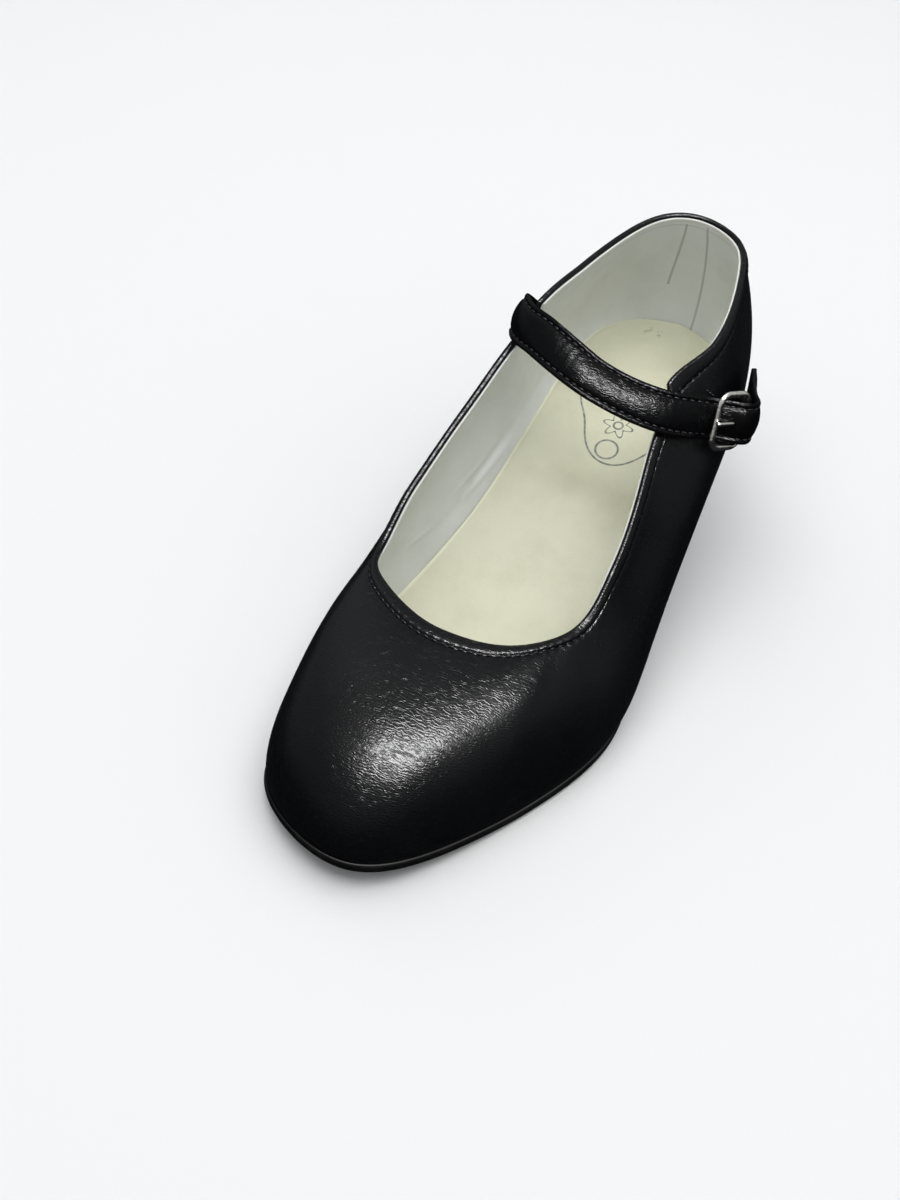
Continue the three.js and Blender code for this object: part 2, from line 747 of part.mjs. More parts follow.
// Chape: a leather strip folded round the hinge bar, both ends sewn to the quarter one on the other.
function makeChape() {
  const layer = chapeThickness + fitGap;
  const rows = [];
  const width = strapWidth - 2 * chapeInset;
  const add = (place, lean = buckleDown) => rows.push({ place, lean, width, thickness: chapeThickness });
  const sewn = [
    [0.72, -0.9],
    [0.42, -0.7],
  ];
  const addSewn = ([back, out], layers) => {
    const over = bucklePlace(buckleDepth * (1 + back), strapWidth * out, 0);
    const rest = restOnUpper(over, fitGap + chapeThickness / 2 + layers * layer);
    add(rest.place, buckleDown.clone().addScaledVector(rest.out, -buckleDown.dot(rest.out)).normalize());
  };
  for (const place of sewn) addSewn(place, 0);
  add(bucklePlace(buckleDepth + chapeRadius * 1.15, -chapeRadius * 2.0, 0));
  const loopSteps = 7;
  for (let i = 0; i <= loopSteps; i++) {
    const angle = THREE.MathUtils.degToRad(-80 - (270 * i) / loopSteps);
    const back = buckleDepth + chapeRadius * Math.cos(angle);
    add(bucklePlace(back, chapeRadius * Math.sin(angle), 0));
  }
  add(bucklePlace(buckleDepth + chapeRadius * 2.0, -chapeRadius * 1.3, 0));
  for (const place of sewn.slice().reverse()) addSewn(place, 1);
  const perRow = 3;
  const count = (rows.length - 1) * perRow;
  const steps = Array.from({ length: count + 1 }, (_, i) => i / count);
  const section = table("wide thick", [
    [-1, 1],
    [1, 1],
    [1, -1],
    [-1, -1],
  ]);
  return gridBody(ribbon(rows, steps, section), false);
}

const wasm = await Module();
wasm.setup();

// Cuts one body from another.
function cut(body, tool) {
  const solid = (geometry) =>
    new wasm.Manifold(
      new wasm.Mesh({
        numProp: 3,
        vertProperties: Float32Array.from(geometry.attributes.position.array),
        triVerts: Uint32Array.from(geometry.index.array),
      }),
    );
  const made = solid(body).subtract(solid(tool)).getMesh();
  const geometry = new THREE.BufferGeometry();
  geometry.setAttribute("position", new THREE.BufferAttribute(made.vertProperties, 3));
  geometry.setIndex(new THREE.BufferAttribute(made.triVerts, 1));
  return geometry;
}

const prongRoom = prongBody(fitGap);

const leather = new THREE.MeshStandardMaterial({ color: 0x141416, roughness: 0.38 });
const strapLeather = new THREE.MeshStandardMaterial({ color: 0x111113, roughness: 0.3 });
const insoleSheet = new THREE.MeshStandardMaterial({ color: 0xd5d5bc, roughness: 0.75 });
const soleRubber = new THREE.MeshStandardMaterial({ color: 0x1c1b1a, roughness: 0.7 });
const heelCover = new THREE.MeshStandardMaterial({ color: 0x151416, roughness: 0.42 });
const nickel = new THREE.MeshStandardMaterial({ color: 0xd0ccc4, roughness: 0.22, metalness: 1 });

const shoe = new THREE.Group();
for (const [name, geometry, material] of [
  ["upper", makeUpper(), leather],
  ["outsole", makeOutsole(), soleRubber],
  ["insole", makeInsole(), insoleSheet],
  ["heel", makeHeel(), heelCover],
  ["heel_top_piece", makeTopPiece(), soleRubber],
  ["strap", cut(makeStrap(), prongRoom), strapLeather],
  ["chape", cut(makeChape(), prongRoom), strapLeather],
  ["buckle", makeBuckle(), nickel],
  ["buckle_prong", prongBody(0), nickel],
]) {
  const mesh = new THREE.Mesh(geometry, material);
  mesh.name = name;
  shoe.add(mesh);
}

// The frame's origin is on the floor, in the middle of the whole shoe.
const middle = new THREE.Box3().setFromObject(shoe).getCenter(vector(0, 0, 0));
for (const mesh of shoe.children) mesh.position.set(-middle.x, -middle.y, 0);

export default shoe;
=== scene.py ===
# %% [markdown]
# # A black flamenco shoe
# This lesson dresses one girl's flamenco shoe, the left one of a pair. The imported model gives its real
# size and place. Here every piece gets the surface that the maker gave it: a grained synthetic leather
# pulled over a last, a pale lining, an ivory insole, a padded strap and a small nickel buckle.
#
# Lengths are in millimetres while a shape is worked out, and in metres in Blender's meshes. The toe points
# to -Y, +X is the outer side of the foot, and the floor is at Z = 0.

import json
import math

import bmesh
import bpy
import numpy as np
from mathutils import Matrix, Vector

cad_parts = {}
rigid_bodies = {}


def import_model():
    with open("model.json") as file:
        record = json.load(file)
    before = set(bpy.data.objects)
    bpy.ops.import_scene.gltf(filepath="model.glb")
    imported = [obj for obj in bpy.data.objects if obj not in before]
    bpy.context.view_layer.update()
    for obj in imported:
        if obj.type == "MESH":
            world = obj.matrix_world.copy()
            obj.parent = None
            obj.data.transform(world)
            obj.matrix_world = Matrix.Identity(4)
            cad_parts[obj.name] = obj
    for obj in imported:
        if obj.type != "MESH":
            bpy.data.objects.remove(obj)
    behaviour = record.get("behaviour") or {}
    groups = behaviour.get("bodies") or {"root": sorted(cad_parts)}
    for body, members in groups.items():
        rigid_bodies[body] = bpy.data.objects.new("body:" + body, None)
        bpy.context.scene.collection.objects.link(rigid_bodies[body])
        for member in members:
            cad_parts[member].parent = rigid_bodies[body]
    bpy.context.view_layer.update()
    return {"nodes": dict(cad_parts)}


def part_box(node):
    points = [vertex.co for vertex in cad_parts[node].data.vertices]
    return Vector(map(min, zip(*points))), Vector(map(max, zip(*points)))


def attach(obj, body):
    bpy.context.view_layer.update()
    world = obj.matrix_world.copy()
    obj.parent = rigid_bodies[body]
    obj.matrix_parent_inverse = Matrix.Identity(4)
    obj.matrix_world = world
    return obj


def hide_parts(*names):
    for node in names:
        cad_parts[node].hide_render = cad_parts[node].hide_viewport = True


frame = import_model()
MM = 0.001
print("nodes:", ", ".join(sorted(frame["nodes"])))

# %% [markdown]
# ## The last
# A shoe is built over a last, so its shape is one smooth body. The last is described here by ribs that
# climb from the foot line, where the upper meets the sole, to the topline. A rib's ends are shares of the
# shoe's length and of half the ball width, and periodic splines carry them round the shoe. A few numbers
# then give the whole upper, and all the pieces that lie on it.

# %% Sizes of the last
SHOE_LENGTH = 226
HALF_BALL = 42
HEEL_LIFT = 34
TOE_SPRING = 6
SOLE_THICKNESS = 4
COLLAR_HEIGHT = 46
QUARTER_HEIGHT = 43.5
SIDE_HEIGHT = 39.5
THROAT_HEIGHT = 34
TOE_BOX_HEIGHT = 25
WALL_SWELL = 6.5
TOE_SWELL = 0.7
CORNER_DROP = 4.6
CORNER_RUN = 1.6
CORNER_FADE = 22
CORNER_LEAN = 1.8
CORNER_LEAN_FADE = 20
CORNER_OUTER = 0.664
CORNER_INNER = 0.712

RIB_COLUMNS = ("foot_along", "foot_across", "top_along", "top_across", "swell")
RIBS = np.array(
    [
        (1.000, 0.01, 0.984, 0.07, 1.0),  # heel back
        (0.970, 0.42, 0.958, 0.38, 1.0),
        (0.890, 0.65, 0.890, 0.54, 1.1),  # outer seat
        (0.770, 0.75, 0.765, 0.63, 1.5),
        (0.630, 0.80, 0.660, 0.52, 2.0),  # outer waist
        (0.490, 0.90, 0.535, 0.62, 1.5),
        (0.357, 0.985, 0.405, 0.66, 1.0),  # outer ball
        (0.229, 0.786, 0.330, 0.48, 0.7),
        (0.103, 0.443, 0.295, 0.23, 0.3),
        (0.018, -0.046, 0.285, -0.05, 0.2),  # toe
        (0.065, -0.7, 0.292, -0.34, 0.3),
        (0.163, -0.918, 0.325, -0.67, 0.8),
        (0.313, -0.978, 0.385, -0.84, 1.0),  # inner ball
        (0.470, -0.80, 0.525, -0.80, 1.0),
        (0.620, -0.63, 0.645, -0.69, 1.0),  # inner waist
        (0.760, -0.60, 0.765, -0.57, 1.0),
        (0.890, -0.61, 0.888, -0.41, 1.0),  # inner seat
        (0.972, -0.42, 0.962, -0.22, 1.0),
    ]
)
# Along the shoe from toe to heel: share of the heel's lift, and share of the toe spring
LIFT_PROFILE = [(0, 0), (0.38, 0), (0.46, 0.14), (0.56, 0.42), (0.68, 0.79), (0.8, 0.95), (1, 1)]
SPRING_PROFILE = [(0, 1), (0.12, 0.28), (0.22, 0), (1, 0)]
TOPLINE_PROFILE = [
    (0.28, THROAT_HEIGHT),
    (0.36, THROAT_HEIGHT * 0.985),
    (0.45, SIDE_HEIGHT * 0.98),
    (0.6, SIDE_HEIGHT),
    (0.7, QUARTER_HEIGHT * 0.977),
    (0.85, QUARTER_HEIGHT * 1.023),
    (1, COLLAR_HEIGHT),
]


# %% Curves that carry the ribs round the shoe
def ease(low, high, x):
    """Smooth step: 0 up to low, 1 from high, and t * t * (3 - 2 t) between them."""
    t = np.clip((x - low) / (high - low), 0, 1)
    return t * t * (3 - 2 * t)


def unit(vectors):
    """Vectors divided by their lengths."""
    return vectors / np.maximum(np.linalg.norm(vectors, axis=-1, keepdims=True), 1e-12)


def dot(a, b):
    """Scalar products, kept as a last axis of one."""
    return (a * b).sum(-1, keepdims=True)


def bump_curve(x, centre, width):
    """Bell curve: exp of minus the square of the distance from centre over width."""
    return np.exp(-(((x - centre) / width) ** 2))


def solve_loop(values):
    """Control values of the closed cubic B-spline that passes through values."""
    control = values.copy()
    for _ in range(50):
        control = (6 * values - np.roll(control, 1) - np.roll(control, -1)) / 4
    return control


RIB_CONTROL = {name: solve_loop(RIBS[:, k]) for k, name in enumerate(RIB_COLUMNS)}


def rib(name, u):
    """Closed cubic B-spline of a column of the ribs' table, at u from 0 to 1 round the shoe."""
    control = RIB_CONTROL[name]
    count = len(control)
    place = (u - np.floor(u)) * count
    i = np.floor(place).astype(int) % count
    t = place - np.floor(place)
    a, b = control[(i - 1) % count], control[i]
    c, d = control[(i + 1) % count], control[(i + 2) % count]
    mix_b = 3 * t**3 - 6 * t**2 + 4
    mix_c = -3 * t**3 + 3 * t**2 + 3 * t + 1
    return ((1 - t) ** 3 * a + mix_b * b + mix_c * c + t**3 * d) / 6


def profile(points, x):
    """Cubic through (x, y) points that never overshoots: its slopes are weighted harmonic means."""
    xs, ys = np.array(points, float).T
    run, rise = np.diff(xs), np.diff(ys) / np.diff(xs)
    slope = np.zeros(len(xs))
    slope[0], slope[-1] = rise[0], rise[-1]
    for i in range(1, len(xs) - 1):
        if rise[i - 1] * rise[i] > 0:
            before, after = 2 * run[i] + run[i - 1], run[i] + 2 * run[i - 1]
            slope[i] = (before + after) / (before / rise[i - 1] + after / rise[i])
    x = np.clip(x, xs[0], xs[-1])
    k = np.clip(np.searchsorted(xs, x, side="right") - 1, 0, len(run) - 1)
    t = (x - xs[k]) / run[k]
    ends = (2 * t**3 - 3 * t**2 + 1) * ys[k] + (3 * t**2 - 2 * t**3) * ys[k + 1]
    slopes = (t**3 - 2 * t**2 + t) * slope[k] + (t**3 - t**2) * slope[k + 1]
    return ends + slopes * run[k]


# %% The surface of the upper
def foot_height(along):
    """Height of the upper's foot line: the sole's thickness, the heel's lift and the toe spring."""
    lift = HEEL_LIFT * profile(LIFT_PROFILE, along)
    return SOLE_THICKNESS + lift + TOE_SPRING * profile(SPRING_PROFILE, along)


def foot_line(u):
    """Points of the foot line round the shoe."""
    along = rib("foot_along", u)
    y = (along - 0.5) * SHOE_LENGTH
    return np.stack([rib("foot_across", u) * HALF_BALL, y, foot_height(along)], -1)


def foot_out(u):
    """Level direction away from the shoe at the foot line."""
    step = foot_line(u - 0.002) - foot_line(u + 0.002)
    return unit(np.stack([step[..., 1], -step[..., 0], 0 * step[..., 0]], -1))


def top_line(u):
    """Points of the topline's smooth run."""
    along = rib("top_along", u)
    z = foot_height(along) + profile(TOPLINE_PROFILE, along)
    return np.stack([rib("top_across", u) * HALF_BALL, (along - 0.5) * SHOE_LENGTH, z], -1)


def corner_step(u):
    """How far the topline lies over or under its smooth run at the quarters' front corners."""
    corner = np.where(rib("top_across", u) > 0, CORNER_OUTER, CORNER_INNER)
    away = (rib("top_along", u) - corner) * SHOE_LENGTH
    step = ease(-CORNER_RUN / 2, CORNER_RUN / 2, away) - 0.5
    return CORNER_DROP * step * (1 - ease(0, CORNER_FADE, np.abs(away)))


def corner_inwards(u):
    """How far the outer quarter's front corner leans inwards, drawn by the fastened strap."""
    away = (rib("top_along", u) - CORNER_OUTER) * SHOE_LENGTH
    step = ease(-CORNER_RUN / 2, CORNER_RUN / 2, away) * (rib("top_across", u) > 0)
    return CORNER_LEAN * step * (1 - ease(0, CORNER_LEAN_FADE, np.abs(away)))


def upper_point(u, v):
    """Outer face of the upper: a cubic rib from the foot line, v = 0, to the topline, v = 1. It is a wall
    with a swell at the quarters, and a toe box that arches back to the throat at the forefoot."""
    u, v = np.broadcast_arrays(np.asarray(u, float), np.asarray(v, float))
    foot, top, out = foot_line(u), top_line(u), foot_out(u)
    fore = 1 - ease(0.17, 0.42, rib("foot_along", u))
    rise = (top[..., 2] - foot[..., 2]) / 3
    swell = WALL_SWELL * rib("swell", u)
    low = foot + out * (swell * (1 - fore) + TOE_SWELL * fore)[..., None]
    low[..., 2] += rise * (1 - fore) + TOE_BOX_HEIGHT * fore
    wall = top + out * (0.8 * swell)[..., None]
    wall[..., 2] -= rise
    vamp = top + 0.55 * (foot - top) * (1, 1, 0)
    vamp[..., 2] += THROAT_HEIGHT * 0.08
    high = wall + (vamp - wall) * fore[..., None]
    w = v[..., None]
    point = (1 - w) ** 3 * foot + 3 * w * (1 - w) ** 2 * low + 3 * w**2 * (1 - w) * high + w**3 * top
    point -= out * (corner_inwards(u) * v**8)[..., None]
    point[..., 2] += corner_step(u) * v**8
    return point


def upper_up(u, v):
    """Direction up the rib."""
    return unit(upper_point(u, np.minimum(v + 0.01, 1)) - upper_point(u, np.maximum(v - 0.01, 0)))


def upper_out(u, v):
    """Direction square to the upper, outwards. It is level at the foot line."""
    u, v = np.broadcast_arrays(np.asarray(u, float), np.asarray(v, float))
    around = upper_point(u + 0.002, v) - upper_point(u - 0.002, v)
    out = -unit(np.cross(around, upper_up(u, v)))
    out[..., 2] *= ease(0, 0.12, v)
    return unit(out)


rough = upper_point(np.linspace(0, 1, 400)[:, None], np.linspace(0, 1, 12)[None, :])
print("last, mm:", np.ptp(rough.reshape(-1, 3), axis=0).round(1))

# %% [markdown]
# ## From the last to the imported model
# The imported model's origin is in the middle of its box, and the last's is in the middle of the foot line.
# The insole's box gives the step between them, because its outline follows the foot line all round.

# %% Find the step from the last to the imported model
UPPER_WALL = 2.0
INSOLE_EASE = 0.8


def beside_foot_line(u, distance):
    """Foot line moved outwards by a distance in millimetres."""
    return foot_line(u) + foot_out(u) * np.asarray(distance)[..., None]


round_shoe = np.linspace(0, 1, 1201)[:-1]
insole_edge = beside_foot_line(round_shoe, np.full(1200, -(UPPER_WALL + INSOLE_EASE)))
insole_low, insole_high = (np.array(corner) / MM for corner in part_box("insole"))
own_middle = (insole_edge.min(0) + insole_edge.max(0)) / 2
FRAME_STEP = ((insole_low + insole_high) / 2 - own_middle) * (1, 1, 0)
print("step to the packed model, mm:", FRAME_STEP.round(2))

# %% [markdown]
# ## The camera
# The photograph looks down on the shoe from the front of its outer side, with the camera rolled a little. A
# 51 mm lens on a 36 mm sensor gives its perspective from half a metre away. The camera's place was fitted
# to the outline of the last.

# %% Place the camera
CAMERA_AZIMUTH, CAMERA_ELEVATION, CAMERA_ROLL = (math.radians(a) for a in (22.67, 44.96, 5.66))
CAMERA_DISTANCE = 499.6
CAMERA_TARGET = np.array((-18.47, -13.82, 12.75))

level = math.cos(CAMERA_ELEVATION)
towards = np.array(
    (math.sin(CAMERA_AZIMUTH) * level, -math.cos(CAMERA_AZIMUTH) * level, math.sin(CAMERA_ELEVATION))
)
right = np.array((math.cos(CAMERA_AZIMUTH), math.sin(CAMERA_AZIMUTH), 0))
above = np.cross(towards, right)
turned_right = math.cos(CAMERA_ROLL) * right + math.sin(CAMERA_ROLL) * above
turned_above = -math.sin(CAMERA_ROLL) * right + math.cos(CAMERA_ROLL) * above


def add_object(name, data):
    """Adds an object of a mesh, a camera or a light to the scene."""
    item = bpy.data.objects.new(name, data)
    bpy.context.scene.collection.objects.link(item)
    return item


def turned_to(side, above, back, place):
    """Matrix of an object at a place in metres, with its own X, Y and Z along three directions."""
    matrix = np.eye(4)
    matrix[:3, :3] = np.stack([side, above, back], 1)
    matrix[:3, 3] = place
    return Matrix(matrix.tolist())


camera_data = bpy.data.cameras.new("photo_camera")
camera_data.lens = 51
camera_data.sensor_width = 36
camera_data.clip_start = 0.01
camera = add_object("photo_camera", camera_data)
camera_place = CAMERA_TARGET + towards * CAMERA_DISTANCE + FRAME_STEP
camera.matrix_world = turned_to(turned_right, turned_above, towards, camera_place * MM)
bpy.context.scene.camera = camera
print("camera at, mm:", camera_place.round(1))


# %% [markdown]
# ## Meshes from grids
# Each piece is a grid of points: rows run along the piece, and the columns go once round its section. A
# grid that closes both ways is a ring, such as the upper, and one that closes one way gets a cap at each
# end, such as the strap. The points are worked out as whole arrays and handed to Blender in one go.

# %% Turn grids of points into pieces
def grid_faces(rows, columns, close_rows=False, close_columns=True):
    """Four corners for each cell of a grid, whose rows or columns may close round."""
    i = np.arange(rows if close_rows else rows - 1)[:, None]
    j = np.arange(columns if close_columns else columns - 1)[None, :]
    after, beside = (i + 1) % rows, (j + 1) % columns
    corners = [i * columns + j, after * columns + j, after * columns + beside, i * columns + beside]
    return np.stack([np.broadcast_to(c, (i.size, j.size)) for c in corners], -1).reshape(-1, 4)


def make_mesh(name, points, faces, weld=False, values=None):
    """Mesh of points in millimetres in the last's place and lists of faces. Values are numbers that the
    finish reads at each point. The outside is found from the signed volume: faces that point inwards are
    turned round."""
    mesh = bpy.data.meshes.new(name)
    mesh.from_pydata(((points + FRAME_STEP) * MM).tolist(), [], [face for group in faces for face in group])
    for key, numbers in (values or {}).items():
        attribute = mesh.attributes.new(key, "FLOAT", "POINT")
        attribute.data.foreach_set("value", np.asarray(numbers, np.float32).ravel())
    body = bmesh.new()
    body.from_mesh(mesh)
    if weld:
        bmesh.ops.remove_doubles(body, verts=body.verts, dist=2e-6)
    if body.calc_volume(signed=True) < 0:
        bmesh.ops.reverse_faces(body, faces=body.faces)
    body.to_mesh(mesh)
    body.free()
    mesh.polygons.foreach_set("use_smooth", np.ones(len(mesh.polygons), bool))
    return mesh


def add_piece(name, mesh, replaces=(), sharp=None):
    """Piece of the shoe: it rides on the shoe's body and hides the imported parts that it replaces."""
    piece = add_object(name, mesh)
    if sharp is not None:
        mesh.set_sharp_from_angle(angle=math.radians(sharp))
    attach(piece, "root")
    if replaces:
        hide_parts(*replaces)
    print(f"{name}: {len(mesh.polygons)} faces")
    return piece


def caps(rows, columns):
    """The two end faces of a grid whose columns close round."""
    first = list(range(columns))
    return [first, [(rows - 1) * columns + k for k in reversed(first)]]


def grid_mesh(name, grid, close_rows=False, values=None):
    """Mesh of a grid of points (rows, columns, 3) whose columns close round."""
    rows, columns = grid.shape[:2]
    faces = [grid_faces(rows, columns, close_rows).tolist()]
    if not close_rows:
        faces.append(caps(rows, columns))
    return make_mesh(name, grid.reshape(-1, 3), faces, values=values)


def cut(mesh, tool):
    """Mesh with a closed tool mesh taken out of it."""
    pair = [add_object("cut_" + m.name, m) for m in (mesh, tool)]
    modifier = pair[0].modifiers.new("cut", "BOOLEAN")
    modifier.operation = "DIFFERENCE"
    modifier.solver = "EXACT"
    modifier.object = pair[1]
    settled = pair[0].evaluated_get(bpy.context.evaluated_depsgraph_get())
    result = bpy.data.meshes.new_from_object(settled)
    result.name = mesh.name
    for item in pair:
        bpy.data.objects.remove(item)
    bpy.data.meshes.remove(tool)
    result.polygons.foreach_set("use_smooth", np.ones(len(result.polygons), bool))
    return result


# %% [markdown]
# ## Stitches
# A seam is a row of short threads. Each one leaves the leather, lies on it and dives in again, so it is a
# slim capsule whose ends are a little lower than its middle. One capsule is carried to every place of a row
# by an array of frames, so hundreds of stitches are made in one step.

# %% Carry one stitch along a line
STITCH_THICKNESS = 0.48


def walk(line, out, pitch, closed):
    """Places at equal steps of about pitch along a line of points, with their directions along and out."""
    if closed:
        line, out = np.concatenate([line, line[:1]]), np.concatenate([out, out[:1]])
    reach = np.concatenate([[0], np.cumsum(np.linalg.norm(np.diff(line, axis=0), axis=1))])
    count = max(2, round(reach[-1] / pitch))
    at = (np.arange(count) + 0.5) * reach[-1] / count

    def sample(values, where):
        return np.stack([np.interp(where, reach, values[:, k]) for k in range(3)], -1)

    ahead = np.minimum(at + 0.3, reach[-1])
    along = unit(sample(line, ahead) - sample(line, np.maximum(at - 0.3, 0)))
    square = sample(out, at)
    return sample(line, at), along, unit(square - dot(square, along) * along)


def stitch_points(centres, along, out, length, thickness=STITCH_THICKNESS):
    """Grids of the stitches: rings of radius r * sqrt(1 - a * a) at a from -1 to 1 along the thread, lifted
    by (1 - a * a) so that the ends dip into the leather."""
    a = np.linspace(-0.97, 0.97, 7)[None, :, None, None]
    turn = np.linspace(0, 2 * np.pi, 7)[:-1][None, None, :, None]
    centres, along, out = (x[:, None, None, :] for x in (centres, along, out))
    side = np.cross(out, along)
    radius = thickness / 2 * np.sqrt(1 - a**2)
    lift = thickness * (0.6 * (1 - a**2) - 0.3)
    spin = side * np.cos(turn) + out * np.sin(turn)
    return centres + along * (a * length / 2) + out * lift + spin * radius


def sew(name, rows):
    """Piece made of the stitches of some rows. Each row is (line, out, pitch, closed, length), where out
    holds the leather's outward directions along the line."""
    grids = np.concatenate([stitch_points(*walk(*row[:4]), row[4]) for row in rows])
    count, rings, sides = grids.shape[:3]
    cell = grid_faces(rings, sides)
    ends = np.array(caps(rings, sides))
    offsets = (np.arange(count) * rings * sides)[:, None, None]
    walls = (cell[None] + offsets).reshape(-1, 4).tolist()
    faces = [walls, (ends[None] + offsets).reshape(-1, sides).tolist()]
    return add_piece(name, make_mesh(name, grids.reshape(-1, 3), faces))


# %% [markdown]
# ## Finishes
# Most of the shoe is polyurethane-coated synthetic leather: a knitted base with a film cast on embossed
# release paper. The film has fine wavy ridges across the pull of the last, and a soft gloss, because its
# top is smooth between them. Colours are written as sRGB hex values and turned to linear by one function. A
# second small function adds a node of any kind in a table, with its settings and links.

# %% Helpers for materials
def linear(hex_colour):
    """Linear colour of an sRGB hex value: the sRGB curve undone channel by channel."""
    channels = [int(hex_colour[k : k + 2], 16) / 255 for k in (1, 3, 5)]
    return [c / 12.92 if c <= 0.04045 else ((c + 0.055) / 1.055) ** 2.4 for c in channels] + [1.0]


# Kind: the node, its settings, its inputs in order and the output that is read
NODE_KINDS = {
    "own_place": ("ShaderNodeTexCoord", {}, (), "Object"),
    "direction": ("ShaderNodeTexCoord", {}, (), "Generated"),
    "point_value": ("ShaderNodeAttribute", {}, (), "Fac"),
    "x": ("ShaderNodeSeparateXYZ", {}, ("Vector",), "X"),
    "y": ("ShaderNodeSeparateXYZ", {}, ("Vector",), "Y"),
    "z": ("ShaderNodeSeparateXYZ", {}, ("Vector",), "Z"),
    "vector_subtract": ("ShaderNodeVectorMath", {"operation": "SUBTRACT"}, (0, 1), 0),
    "vector_multiply": ("ShaderNodeVectorMath", {"operation": "MULTIPLY"}, (0, 1), 0),
    "vector_scale": ("ShaderNodeVectorMath", {"operation": "SCALE"}, (0, "Scale"), 0),
    "dot_product": ("ShaderNodeVectorMath", {"operation": "DOT_PRODUCT"}, (0, 1), "Value"),
    "distance": ("ShaderNodeVectorMath", {"operation": "DISTANCE"}, (0, 1), "Value"),
    "length": ("ShaderNodeVectorMath", {"operation": "LENGTH"}, (0,), "Value"),
    "clamp": ("ShaderNodeClamp", {}, ("Value",), 0),
    "grade": ("ShaderNodeMapRange", {}, ("Value", "From Min", "From Max", "To Min", "To Max"), "Result"),
    "noise": ("ShaderNodeTexNoise", {}, ("Vector", "Scale", "Detail", "Roughness"), "Fac"),
    "mix": ("ShaderNodeMix", {"data_type": "RGBA"}, (0, 6, 7), 2),
    "bump": ("ShaderNodeBump", {}, ("Height", "Distance"), "Normal"),
}
OPERATIONS = "add subtract multiply multiply_add sine cosine arctan2 absolute minimum"
for operation in OPERATIONS.split():
    NODE_KINDS[operation] = ("ShaderNodeMath", {"operation": operation.upper()}, (0, 1, 2), 0)


def feed(tree, node, values):
    """Gives a node's inputs their values: numbers, colours, or sockets to link from."""
    for key, value in values.items():
        if isinstance(value, bpy.types.NodeSocket):
            tree.links.new(value, node.inputs[key])
        else:
            node.inputs[key].default_value = value


def add_node(tree, kind, *values, **settings):
    """Adds a node of a kind from the table, with its settings and the values of its inputs in order. Returns
    the output that is read. A grade maps its value from one range to another and holds it at the ends, and
    the scale of a noise is one over the width of its patches in metres."""
    node_type, own_settings, inputs, output = NODE_KINDS[kind]
    node = tree.nodes.new(node_type)
    for key, value in {**own_settings, **settings}.items():
        setattr(node, key, value)
    feed(tree, node, dict(zip(inputs, values)))
    return node.outputs[output]


def new_material(name):
    """Material with a Principled surface and the piece's own coordinates. Returns it, its nodes, the surface
    node and the coordinates' socket."""
    material = bpy.data.materials.new(name)
    material.use_nodes = True
    tree = material.node_tree
    surface = tree.nodes["Principled BSDF"]
    return material, tree, surface, add_node(tree, "own_place")


def marked_place(point):
    """Place of a point of the last, given in millimetres, in the piece's own coordinates."""
    return tuple(((np.array(point, float) + FRAME_STEP) * MM).tolist())


def away_from_line(tree, place, start, end):
    """Distance in metres from the straight line between two points of the last."""
    start, end = marked_place(start), marked_place(end)
    line = np.subtract(end, start)
    from_start = add_node(tree, "vector_subtract", place, start)
    share = add_node(tree, "dot_product", from_start, tuple((line / (line @ line)).tolist()))
    held = add_node(tree, "clamp", share)
    nearest = add_node(tree, "vector_scale", tuple(line.tolist()), held)
    return add_node(tree, "distance", from_start, nearest)


def smallest(tree, values):
    """Smallest of several sockets."""
    least = values[0]
    for value in values[1:]:
        least = add_node(tree, "minimum", least, value)
    return least


def away_from_lines(tree, place, lines):
    """Smallest distance from several straight lines."""
    return smallest(tree, [away_from_line(tree, place, *line) for line in lines])


# %% [markdown]
# ### Coated synthetic leather
# The grain is a field of low wavy ridges about 1 mm apart, which run across the shoe, because the last
# pulls the sheet lengthwise. They are a sine of the place along the shoe, bent and broken up by noises, and
# only 0.05 mm high, so they show where a lamp is mirrored and vanish elsewhere. The specular level is set
# low against the strong long light below, until both together gave the gloss of the photograph. A real
# coated film mirrors more than this. Roughness varies a little, as handling leaves it.

# %% Black synthetic leather
GRAIN_BEND = 26.0
BASE_HANDLED = "#0b0c0e"


